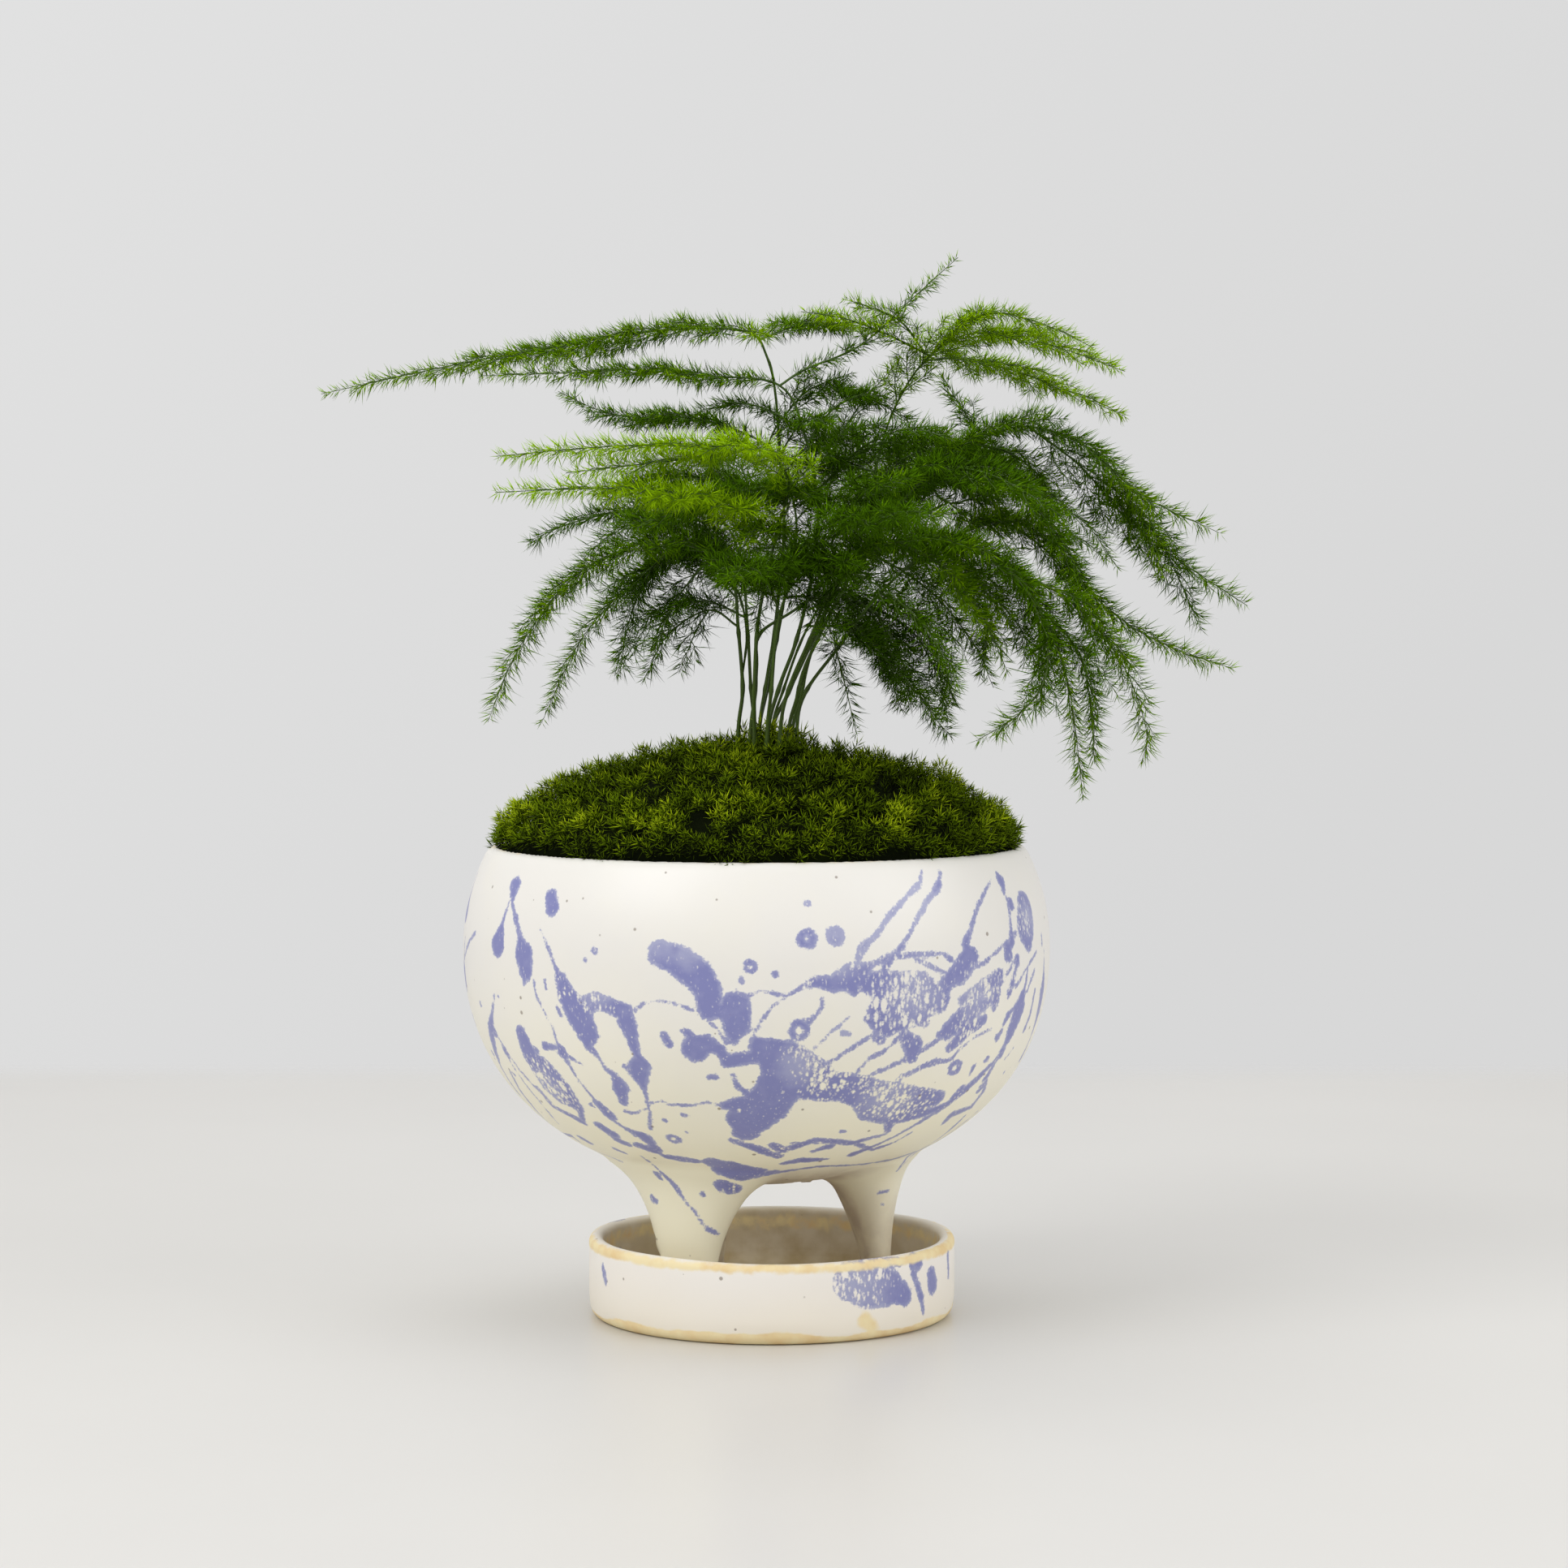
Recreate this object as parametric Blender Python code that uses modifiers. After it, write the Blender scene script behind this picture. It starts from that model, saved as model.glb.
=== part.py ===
"""An asparagus fern growing from a mossy mound in a three-legged stoneware bowl, on a round saucer.

Sizes are in millimetres and are turned to metres by MM. +Z is up, +X is to the right of the front
view and -Y is its front. The origin is the middle of the saucer's flat underside.
"""

import math
import random

import bmesh
import bpy
import numpy as np
from mathutils import Matrix, Vector, noise

MM = 0.001
GAP = 0.3

# Saucer
SAUCER_RADIUS = 44.0
SAUCER_HEIGHT = 19.0
SAUCER_WALL = 3.6
SAUCER_FLOOR = 4.5
SAUCER_COVE = 5.0
SAUCER_FOOT = 2.2
SAUCER_TAPER = 0.9
SAUCER_STEPS = 28

# Bowl, measured up from its feet. It stands a little to the left of the saucer's middle.
POT_X = -3.4
POT_FEET_Z = SAUCER_FLOOR + GAP
BOWL_RADIUS = 70.0
BOWL_WIDEST_Z = 84.2
BOWL_BOTTOM_Z = 27.6
BOWL_DOME_HEIGHT = 58.0
BOWL_FULLNESS = 2.2
BOWL_TOP_Z = 108.3
BOWL_WALL = 4.4
BOWL_FLOOR = 5.6
LIP_THICKNESS = 2.5
LIP_DEPTH = 8.0
BOWL_STEPS = 32
BOWL_OUTER_RINGS = 8
BOWL_INNER_RINGS = 6
SHOULDER_RINGS = 3

# Drain hole in the bowl's floor, with the rough ridge of clay that cutting it leaves
DRAIN_RADIUS = 6.0
DRAIN_SIDES = 18
DRAIN_RIDGE = 1.5
RIDGE_OFFSET = 1.0
RIDGE_SINK = 0.3
RIDGE_SIDES = 6

# Legs: three, the same distance from the bowl's axis. Each row of the table is one cross-section:
# its height, how far its inner and outer sides are from the bowl's axis, and half its width.
LEG_ANGLES = (0, 120, 240)
LEG_SIDES = 10
LEG_SECTIONS = (
    (0.0, 26.6, 31.2, 4.6),
    (1.3, 25.6, 31.9, 5.6),
    (9.0, 25.1, 32.3, 6.3),
    (15.0, 23.6, 33.0, 7.6),
    (20.0, 21.2, 33.9, 9.6),
    (24.0, 17.6, 35.0, 12.0),
    (27.0, 12.6, 36.6, 14.8),
    (30.2, 8.6, 39.2, 18.4),
)
LEG_ROOT = (4.6, 43.8, 23.6)
LEG_SUNK = 3.4

# Moss mound and the soil under it
MOUND_RADIUS = 61.0
MOUND_HEIGHT = 25.0
MOUND_POWER = 2.6
MOUND_EDGE_Z = 107.2
MOUND_UNDER_RADII = (0, 30, 48, 57)
MOSS_RADII = (0, 11, 21, 31, 40, 48, 55, MOUND_RADIUS)
MOSS_THICKNESS = 6.4
MOSS_LUMP = 2.1
MOSS_LUMP_SIZE = 11.0
MOSS_TUFT = 1.05
MOSS_TUFT_SIZE = 4.8
MOSS_COLLAR = 3.0
MOSS_COLLAR_RADIUS = 13.0
SOIL_WALL_GAP = 0.9
SOIL_EDGE_DROP = 4.0
SOIL_EDGE_ROUND = 1.5

# Fern stems and needles
STEM_RADIUS = 0.85
STEM_SIDES = 3
STEM_STRETCH = 11.0
STEM_HOLE_RADIUS = 1.25
STEM_HOLE_SIDES = 6
STEM_HOLE_ABOVE = 12.0
STEM_HOLE_BELOW = 1.0
STEM_FOOT_Z = 118.0
AXIS_RADIUS = 0.46
TWIG_RADIUS = 0.34
TWIG_TIP_RADIUS = 0.24
TIP_RADIUS = 0.14
NEEDLE_LENGTH = 4.6
NEEDLE_SPREAD = (0.88, 1.1)
NEEDLE_LEAN = math.radians(52)
NEEDLE_ROOT = 0.85
NEEDLE_RADIUS = 0.12
WHORL_PITCH = 11.8
WHORL_PLACE = 0.62
BARE_TIP = 1.4
LEAST_BARE = 3.0
TWIG_PITCH = 18.2
TWIG_FIRST = 0.15
TWIG_ANGLE = math.radians(50)
TWIG_CURL = 0.16
TWIG_DROOP = 0.1
TWIG_REACH = 1.35
TWIG_SHORTENING = 0.75
TWIG_MORE = 3.0
TWIG_LEAST = 5.0
TWIG_TILT = (-0.25, 0.35)
TWIG_BEHIND_WHORL = 2.2
CLEAR = 0.42
LINE_STEP = 1.0
MOST_BARS = 9000
SEED = 7

# How a twig is laid where it would touch another stem: its share of its full length, and how far
# it is lifted out of its spray's plane. The first that is clear is kept.
TWIG_TRIES = ((1, 0), (1, 0.5), (1, -0.5), (0.62, 0), (0.62, 0.6), (0.45, -0.6))

# Each stem is one piece: its shoots as routes, in millimetres from the part's origin. A shoot is
# its route, the length of it that is bare of needles, and the half width of its spray of twigs.
# The first shoot comes out of the soil, and each other one starts on a shoot before it.
STEMS = {
    "fern_stem_01": (
        (((-8, 1, 139), (-7, 1, 148), (-7, 1, 153), (-8, 1, 165), (-9, 0, 175), (-14, -4, 182),
          (-23, -9, 185), (-33, -13, 184), (-47, -18, 176), (-59, -22, 160), (-66, -25, 143)), 44, 13),
        (((-7, 1, 153), (-6, 4, 163), (-8, 9, 173), (-14, 16, 182), (-24, 22, 182), (-38, 27, 172),
          (-48, 30, 160), (-57, 32, 141)), 26, 13),
        (((-8, 1, 165), (-15, 4, 169), (-25, 8, 163), (-31, 10, 152)), 8, 7),
        (((-15, 4, 169), (-18, 0, 164), (-22, -4, 154)), 3, 5),
    ),
    "fern_stem_02": (
        (((-5, -2, 139), (-4, -2, 148), (-3.5, -2, 156), (-3, -1, 163), (4, 2, 168), (15, 11, 174),
          (24, 22, 170), (31, 30, 158), (39, 36, 144), (45, 38, 137)), 40, 15),
    ),
    "fern_stem_03": (
        (((-3, 3, 139), (-1, 4, 153), (1, 5, 166), (3, 5, 189), (2, 3, 206), (1, 0, 220), (-1, -2, 229),
          (-6, -4, 235), (-25, -10, 235), (-49, -16, 231), (-74, -22, 226), (-104, -28, 219)), 105, 17),
        (((-3.5, -3, 233), (8, 13, 238), (20, 30, 239)), 3, 14),
        (((3, 5, 189), (-8, 9, 199), (-26, 14, 201), (-43, 16, 197)), 6, 14),
    ),
    "fern_stem_04": (
        (((-1, -4, 139), (2, -4, 151), (6, -4, 162), (10, -5, 179), (11, -5, 194), (8, -6, 210),
          (2, -8, 222), (-15, -14, 224), (-32, -20, 225), (-47, -26, 224), (-67, -32, 223)), 88, 15),
        (((2, -8, 222), (8, -5, 228), (21, 2, 236), (33, 9, 245), (45, 14, 254)), 5, 12),
        (((11, -5, 194), (2, -16, 198), (-14, -27, 195), (-31, -35, 188)), 6, 14),
    ),
    "fern_stem_05": (
        (((0, 4, 139), (4, 5, 149), (10, 7, 162), (17, 10, 179), (24, 13, 199), (29, 13, 216),
          (37, 9, 229), (48, 3, 232), (63, -5, 230), (83, -14, 225)), 86, 20),
        (((37, 9, 229), (49, 22, 230), (68, 34, 225), (88, 42, 217)), 6, 15),
        (((24, 13, 199), (36, 4, 207), (52, 0, 205), (66, 2, 198)), 6, 14),
    ),
    "fern_stem_06": (
        (((4, -6, 139), (6, -7, 148), (9, -9, 158), (21, -14, 181), (34, -17, 198), (47, -18, 208),
          (60, -18, 212), (74, -20, 207), (86, -22, 196), (104, -26, 187)), 52, 14),
        (((60, -18, 212), (73, -9, 203), (84, -5, 191), (97, -1, 181), (114, 2, 170)), 4, 13),
        (((34, -17, 198), (40, -32, 202), (52, -46, 199), (66, -56, 190)), 5, 14),
    ),
    "fern_stem_07": (
        (((6, -1, 139), (8, 0, 149), (16, 1, 160), (26, 2, 173), (39, 0, 184), (56, -4, 190),
          (68, -6, 183), (78, -6, 171), (91, -5, 162), (110, -4, 155)), 46, 15),
        (((16, 1, 160), (15, -9, 161), (17, -15, 153), (20, -19, 140)), 5, 6),
    ),
    "fern_stem_08": (
        (((5, 5, 139), (7, 6, 148), (10, 10, 160), (17, 19, 176), (28, 26, 191), (40, 30, 203),
          (52, 36, 208), (63, 42, 202), (73, 48, 190), (85, 52, 181)), 48, 15),
    ),
    "fern_stem_09": (
        (((2, -10, 139), (4, -11, 150), (9, -15, 162), (15, -24, 175), (26, -34, 184), (39, -40, 186),
          (53, -44, 179), (63, -46, 166), (68, -47, 150), (71, -48, 126)), 36, 14),
        (((53, -44, 179), (69, -37, 171), (81, -32, 157), (87, -30, 141), (86, -29, 134)), 4, 12),
        (((63, -46, 166), (62, -52, 154), (56, -57, 146), (46, -61, 140)), 4, 7),
    ),
    "fern_stem_10": (
        (((-1, -12, 139), (0, -15, 150), (2, -20, 168), (8, -31, 181), (18, -48, 188), (29, -68, 191),
          (39, -88, 190)), 42, 14),
        (((2, -20, 168), (0, -31, 174), (-3, -46, 178), (-6, -63, 179), (-8, -82, 176)), 8, 14),
        (((8, -31, 181), (22, -50, 176), (34, -62, 166), (42, -70, 152)), 5, 9),
    ),
    "fern_stem_11": (
        (((-4, -8, 139), (-4, -11, 150), (-3, -14, 167), (1, -20, 186), (4, -30, 199), (-3, -42, 206),
          (-16, -52, 206), (-29, -60, 206), (-42, -67, 205), (-60, -76, 203)), 60, 13),
        (((1, -20, 186), (-7, -38, 192), (-24, -56, 196), (-41, -70, 196), (-60, -80, 195)), 7, 12),
    ),
    "fern_stem_12": (
        (((-4, 7, 139), (-5, 9, 150), (-6, 16, 167), (-8, 28, 183), (-16, 40, 194), (-34, 50, 194),
          (-50, 58, 191), (-63, 65, 186)), 50, 14),
        (((-8, 28, 183), (-6, 48, 199), (-11, 69, 208), (-20, 90, 208)), 8, 14),
        (((-6, 16, 167), (-17, 32, 171), (-30, 46, 166), (-40, 58, 152)), 8, 10),
    ),
    "fern_stem_13": (
        (((0, 10, 139), (3, 13, 150), (9, 22, 165), (20, 36, 181), (33, 49, 184), (44, 60, 173),
          (46, 66, 159), (43, 70, 141)), 40, 13),
        (((20, 36, 181), (26, 57, 197), (36, 78, 207), (49, 96, 210)), 6, 14),
        (((20, 36, 181), (6, 52, 185), (-4, 68, 180), (-10, 82, 168)), 6, 11),
    ),
    "fern_stem_14": (
        (((-3, 12, 139), (-1, 16, 150), (3, 23, 171), (6, 27, 191), (0, 29, 208), (-15, 31, 215),
          (-30, 33, 216), (-42, 35, 218), (-53, 37, 223)), 76, 15),
        (((6, 27, 191), (18, 42, 203), (34, 54, 210), (52, 62, 211)), 5, 15),
    ),
}


def clear_scene():
    """Removes what the startup scene holds."""
    for obj in list(bpy.data.objects):
        bpy.data.objects.remove(obj)


def new_collection(name):
    group = bpy.data.collections.new(name)
    bpy.context.scene.collection.children.link(group)
    return group


def material(name, colour, roughness):
    """A plain finish: linear colour, roughness, no metal."""
    finish = bpy.data.materials.new(name)
    finish.use_nodes = True
    shader = finish.node_tree.nodes["Principled BSDF"]
    shader.inputs["Base Color"].default_value = (*colour, 1)
    shader.inputs["Roughness"].default_value = roughness
    shader.inputs["Metallic"].default_value = 0
    return finish


def placed(name, mesh, group, finish, parent=None, location=(0, 0, 0)):
    """A mesh as a named object of the part, at a place in millimetres."""
    obj = bpy.data.objects.new(name, mesh)
    group.objects.link(obj)
    mesh.materials.append(finish)
    obj.parent = parent
    obj.location = Vector(location) * MM
    return obj


def helper(obj):
    """Marks an object that only shapes another one."""
    obj.hide_render = True
    obj.display_type = "WIRE"
    return obj


def as_mesh(obj):
    """The object's shape with its modifiers, as a new mesh in its own coordinates."""
    graph = bpy.context.evaluated_depsgraph_get()
    return bpy.data.meshes.new_from_object(obj.evaluated_get(graph))


def turned(name, profile, steps, group, finish, parent=None, location=(0, 0, 0)):
    """A solid turned about Z from a profile that ends on the axis and runs down its outer side."""
    mesh = bpy.data.meshes.new(name)
    mesh.from_pydata([(r * MM, 0, z * MM) for r, z in profile],
                     [(k, k + 1) for k in range(len(profile) - 1)], [])
    obj = placed(name, mesh, group, finish, parent, location)
    screw = obj.modifiers.new("turn", "SCREW")
    screw.axis = "Z"
    screw.steps = steps
    screw.render_steps = steps
    screw.use_merge_vertices = True
    screw.merge_threshold = 0.000001
    screw.use_smooth_shade = True
    return obj


def boolean(obj, operation, operand, solver="EXACT"):
    """Joins or cuts by one object or by every object of a collection."""
    step = obj.modifiers.new(operation.lower(), "BOOLEAN")
    step.operation = operation
    step.solver = solver
    if isinstance(operand, bpy.types.Collection):
        step.operand_type = "COLLECTION"
        step.collection = operand
    else:
        step.object = operand


def arc(middle, radius, first, last, count):
    """Points of an arc in the profile's plane, its angles in degrees from +R."""
    points = []
    for k in range(count + 1):
        angle = math.radians(first + (last - first) * k / count)
        points.append((middle[0] + radius * math.cos(angle), middle[1] + radius * math.sin(angle)))
    return points


def bowl_height(radius, shrink=0.0, floor=0.0):
    """Height of the bowl's lower surface at a radius; shrink and floor move it to the inside."""
    part = min(1.0, radius / (BOWL_RADIUS - shrink)) ** BOWL_FULLNESS
    depth = BOWL_WIDEST_Z - BOWL_BOTTOM_Z - floor
    return BOWL_WIDEST_Z - depth * (1 - part) ** (1 / BOWL_FULLNESS)


def bowl_side(shrink, floor, count):
    """The bowl's round side from its axis at the bottom to its widest ring, as (radius, height)."""
    points = []
    for k in range(count + 1):
        turn = math.pi / 2 * k / count
        radius = (BOWL_RADIUS - shrink) * math.sin(turn) ** (2 / BOWL_FULLNESS)
        points.append((radius, bowl_height(radius, shrink, floor)))
    return points


def bowl_shoulder(shrink, top, count):
    """The side above the widest ring, up to a height, as (radius, height)."""
    points = []
    for k in range(1, count + 1):
        height = BOWL_WIDEST_Z + (top - BOWL_WIDEST_Z) * k / count
        part = (height - BOWL_WIDEST_Z) / BOWL_DOME_HEIGHT
        points.append(((BOWL_RADIUS - shrink) * math.sqrt(1 - part * part), height))
    return points


def mound_height(radius):
    """Height of the mound's smooth top over the bowl's axis, measured from the feet."""
    part = min(1.0, radius / MOUND_RADIUS)
    return MOUND_EDGE_Z + MOUND_HEIGHT * (1 - part ** MOUND_POWER)


def make_saucer(group, root, finish):
    """A thrown saucer: flat floor, upright wall, rounded lip and a softened foot."""
    inner = SAUCER_RADIUS - SAUCER_WALL
    lip = SAUCER_WALL / 2
    foot = SAUCER_RADIUS - SAUCER_TAPER - SAUCER_FOOT
    profile = [(0, SAUCER_FLOOR)]
    profile += arc((inner - SAUCER_COVE, SAUCER_FLOOR + SAUCER_COVE), SAUCER_COVE, -90, 0, 3)
    profile += arc((SAUCER_RADIUS - lip, SAUCER_HEIGHT - lip), lip, 180, 0, 6)
    profile += arc((foot, SAUCER_FOOT), SAUCER_FOOT, 0, -90, 2)
    profile += [(0, 0)]
    return turned("saucer", profile, SAUCER_STEPS, group, finish, root)


def leg_mesh(angle):
    """One leg, a loft of egg-shaped sections whose last ring is sunk in the bowl's wall."""
    bm = bmesh.new()
    turn = Matrix.Rotation(math.radians(angle), 4, "Z")
    rings = []
    for height, inner, outer, half in (*LEG_SECTIONS, (None, *LEG_ROOT)):
        ring = []
        for k in range(LEG_SIDES):
            around = math.tau * k / LEG_SIDES
            x = (inner + outer) / 2 + (outer - inner) / 2 * math.cos(around)
            y = half * math.sin(around)
            z = bowl_height(math.hypot(x, y)) + LEG_SUNK if height is None else height
            ring.append(bm.verts.new(turn @ (Vector((x, y, z)) * MM)))
        rings.append(ring)
    for lower, upper in zip(rings, rings[1:]):
        for k in range(LEG_SIDES):
            after = (k + 1) % LEG_SIDES
            bm.faces.new((lower[k], lower[after], upper[after], upper[k]))
    bm.faces.new(rings[0][::-1])
    root = bm.faces.new(rings[-1])
    middle = bmesh.ops.poke(bm, faces=[root])["verts"][0]
    middle.co.z = (bowl_height(Vector(middle.co.xy).length / MM) + LEG_SUNK) * MM
    mesh = bpy.data.meshes.new("leg")
    bm.to_mesh(mesh)
    bm.free()
    return mesh


def ridge_mesh():
    """The uneven ridge of clay round the drain hole, under the floor."""
    bm = bmesh.new()
    rings = []
    for j in range(DRAIN_SIDES):
        turn = math.tau * j / DRAIN_SIDES
        thick = DRAIN_RIDGE * (1 + 0.3 * math.sin(3 * turn) + 0.22 * math.sin(7 * turn + 1))
        ring = []
        for k in range(RIDGE_SIDES):
            tilt = math.tau * k / RIDGE_SIDES
            radius = DRAIN_RADIUS + RIDGE_OFFSET + thick * math.cos(tilt)
            height = BOWL_BOTTOM_Z + RIDGE_SINK + thick * math.sin(tilt)
            ring.append(bm.verts.new(Vector((radius * math.cos(turn), radius * math.sin(turn), height)) * MM))
        rings.append(ring)
    for j in range(DRAIN_SIDES):
        near, far = rings[j], rings[(j + 1) % DRAIN_SIDES]
        for k in range(RIDGE_SIDES):
            after = (k + 1) % RIDGE_SIDES
            bm.faces.new((near[k], far[k], far[after], near[after]))
    bmesh.ops.recalc_face_normals(bm, faces=bm.faces)
    mesh = bpy.data.meshes.new("drain_ridge")
    bm.to_mesh(mesh)
    bm.free()
    return mesh


def make_pot(group, pot_axis, finish):
    """The bowl: a turned shell with a thin rolled lip, three flared legs and a drain hole."""
    lip = LIP_THICKNESS / 2
    lip_z = BOWL_TOP_Z - lip
    outer = bowl_side(0, 0, BOWL_OUTER_RINGS) + bowl_shoulder(0, lip_z, SHOULDER_RINGS)
    lip_middle = (outer[-1][0] - lip, lip_z)
    inner = bowl_side(BOWL_WALL, BOWL_FLOOR, BOWL_INNER_RINGS)
    inner += bowl_shoulder(BOWL_WALL, lip_z - LIP_DEPTH, 1)
    profile = inner + arc(lip_middle, lip, 180, 0, 4) + outer[-2::-1]
    pot = turned("pot", profile, BOWL_STEPS, group, finish, pot_axis)
    added = new_collection("pot_additions")
    for angle in LEG_ANGLES:
        helper(placed("leg", leg_mesh(angle), added, finish, pot_axis))
    helper(placed("drain_ridge", ridge_mesh(), added, finish, pot_axis))
    boolean(pot, "UNION", added)
    depth = 3 * (BOWL_FLOOR + DRAIN_RIDGE)
    bpy.ops.mesh.primitive_cylinder_add(vertices=DRAIN_SIDES, radius=DRAIN_RADIUS * MM, depth=depth * MM)
    drain = helper(bpy.context.object)
    drain.name = "drain_cutter"
    drain.parent = pot_axis
    drain.location = (0, 0, BOWL_BOTTOM_Z * MM)
    boolean(pot, "DIFFERENCE", drain, "MANIFOLD")
    return pot


def make_stem_holes():
    """One plain hole for each stem, through the moss and into the soil."""
    holes = new_collection("stem_holes")
    top = POT_FEET_Z + mound_height(0) + STEM_HOLE_ABOVE
    bottom = STEM_FOOT_Z - STEM_HOLE_BELOW
    for name, shoots in STEMS.items():
        x, y, _ = shoots[0][0][0]
        bpy.ops.mesh.primitive_cylinder_add(
            vertices=STEM_HOLE_SIDES, radius=STEM_HOLE_RADIUS * MM, depth=(top - bottom) * MM,
            location=(x * MM, y * MM, (top + bottom) / 2 * MM))
        hole = helper(bpy.context.object)
        hole.name = "hole_" + name
        for group in hole.users_collection:
            group.objects.unlink(hole)
        holes.objects.link(hole)
    return holes


def make_soil(group, pot_axis, finish, holes):
    """Soil that fills the bowl and rises to a mound under the moss."""
    side = bowl_side(BOWL_WALL + GAP, BOWL_FLOOR + GAP, BOWL_INNER_RINGS)[::2]
    edge_z = MOUND_EDGE_Z - MOSS_THICKNESS - GAP
    wall = bowl_shoulder(BOWL_WALL, edge_z - SOIL_EDGE_DROP, 1)[0][0] - SOIL_WALL_GAP
    top = [(r, mound_height(r) - MOSS_THICKNESS - GAP) for r in MOUND_UNDER_RADII]
    edge = [(wall - SOIL_EDGE_ROUND, edge_z - 1), (wall, edge_z - SOIL_EDGE_DROP)]
    profile = top + edge + side[::-1]
    soil = turned("soil", profile, BOWL_STEPS // 2, group, finish, pot_axis)
    boolean(soil, "DIFFERENCE", holes)
    return soil


def moss_relief(point):
    """How far the moss stands above its smooth mound at a point of the pot's frame."""
    lumps = MOSS_LUMP * noise.noise(point / MOSS_LUMP_SIZE)
    tufts = MOSS_TUFT * noise.noise(point / MOSS_TUFT_SIZE)
    radius = math.hypot(point.x + POT_X, point.y)
    collar = max(0.0, 1 - radius / MOSS_COLLAR_RADIUS) ** 2
    return lumps + tufts + MOSS_COLLAR * collar


def make_moss(group, pot_axis, finish, holes):
    """A mat of moss over the soil, its top raised in soft tufts by a formula."""
    top = [(r, mound_height(r)) for r in MOSS_RADII]
    under_radii = (MOUND_RADIUS - GAP, *MOUND_UNDER_RADII[::-1])
    under = [(r, mound_height(r) - MOSS_THICKNESS) for r in under_radii]
    moss = turned("moss", top + under, BOWL_STEPS, group, finish, pot_axis)
    mesh = as_mesh(moss)
    for vertex in mesh.vertices:
        point = vertex.co / MM
        radius = math.hypot(point.x, point.y)
        if point.z < mound_height(radius) - 0.5 or radius > MOUND_RADIUS - 0.5:
            continue
        vertex.co.z += moss_relief(point) * MM
    moss.modifiers.clear()
    moss.data = mesh
    boolean(moss, "DIFFERENCE", holes)
    return moss


class Room:
    """The round bars that the fern's pieces fill, so that each new piece can be kept clear."""

    def __init__(self, most):
        self.start = np.zeros((most, 3))
        self.end = np.zeros((most, 3))
        self.radius = np.zeros(most)
        self.owner = np.zeros(most, int)
        self.count = 0

    def add(self, start, end, radius, owner):
        k = self.count
        self.start[k] = start
        self.end[k] = end
        self.radius[k] = radius
        self.owner[k] = owner
        self.count += 1

    def free(self, start, end, radius, owner):
        """Whether a bar lies clear of all the bars of other owners."""
        k = self.count
        others = self.owner[:k] != owner
        p, q = np.array(start), np.array(end)
        first, last = self.start[:k][others], self.end[:k][others]
        along, across = q - p, last - first
        between = p - first
        a, e = along @ along, np.einsum("ij,ij->i", across, across)
        f, c, b = np.einsum("ij,ij->i", across, between), between @ along, across @ along
        even = a * e - b * b
        s = np.clip(np.where(even > 1e-9, (b * f - c * e) / np.maximum(even, 1e-9), 0), 0, 1)
        t = np.clip((b * s + f) / np.maximum(e, 1e-9), 0, 1)
        s = np.clip((b * t - c) / max(a, 1e-9), 0, 1)
        nearest = np.linalg.norm(between + s[:, None] * along - t[:, None] * across, axis=1)
        return bool((nearest - self.radius[:k][others] - radius > CLEAR).all())


def smooth_line(points, step):
    """Points close together on a smooth curve through a route."""
    route = [Vector(p) for p in points]
    route = [2 * route[0] - route[1], *route, 2 * route[-1] - route[-2]]
    line = []
    for before, here, after, beyond in zip(route, route[1:], route[2:], route[3:]):
        count = max(2, round((after - here).length / step))
        for k in range(count):
            t = k / count
            line.append(0.5 * (2 * here + (after - before) * t
                               + (2 * before - 5 * here + 4 * after - beyond) * t * t
                               + (3 * here - before - 3 * after + beyond) * t ** 3))
    return line + [route[-2]]


def at_lengths(line, lengths):
    """The points at given lengths along a close line of points."""
    found = []
    passed = 0.0
    k = 0
    for length in lengths:
        while k < len(line) - 2 and passed + (line[k + 1] - line[k]).length < length:
            passed += (line[k + 1] - line[k]).length
            k += 1
        step = (line[k + 1] - line[k]).length
        found.append(line[k].lerp(line[k + 1], min(1.0, (length - passed) / step)))
    return found


def whole_length(line):
    return sum((b - a).length for a, b in zip(line, line[1:]))


def nearest_on(points, place):
    """The point of a run of straight pieces that is nearest to a place."""
    best = None
    for a, b in zip(points, points[1:]):
        run = b - a
        part = min(1.0, max(0.0, (place - a).dot(run) / run.length_squared))
        here = a + run * part
        if best is None or (here - place).length < (best - place).length:
            best = here
    return best


def on_bars(bars, place):
    """The point on any of the bars' middle lines that is nearest to a place."""
    return min((nearest_on(bar.points, place) for bar in bars), key=lambda p: (p - place).length)


class Bar:
    """One tapering piece of a stem: its points, their radii, and the stretches that bear needles."""

    def __init__(self, points, radii, whorls):
        self.points = points
        self.radii = radii
        self.whorls = whorls


def needle_rings(first, last, pitch):
    """Lengths of the pairs of rings between which needles stand, and the places of the pairs."""
    count = max(1, round((last - first) / pitch))
    step = (last - first) / count
    lengths, whorls = [], []
    for k in range(count):
        middle = first + step * (k + WHORL_PLACE)
        whorls.append(len(lengths) + 1)
        lengths += [middle - NEEDLE_ROOT / 2, middle + NEEDLE_ROOT / 2]
    return lengths, whorls


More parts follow.
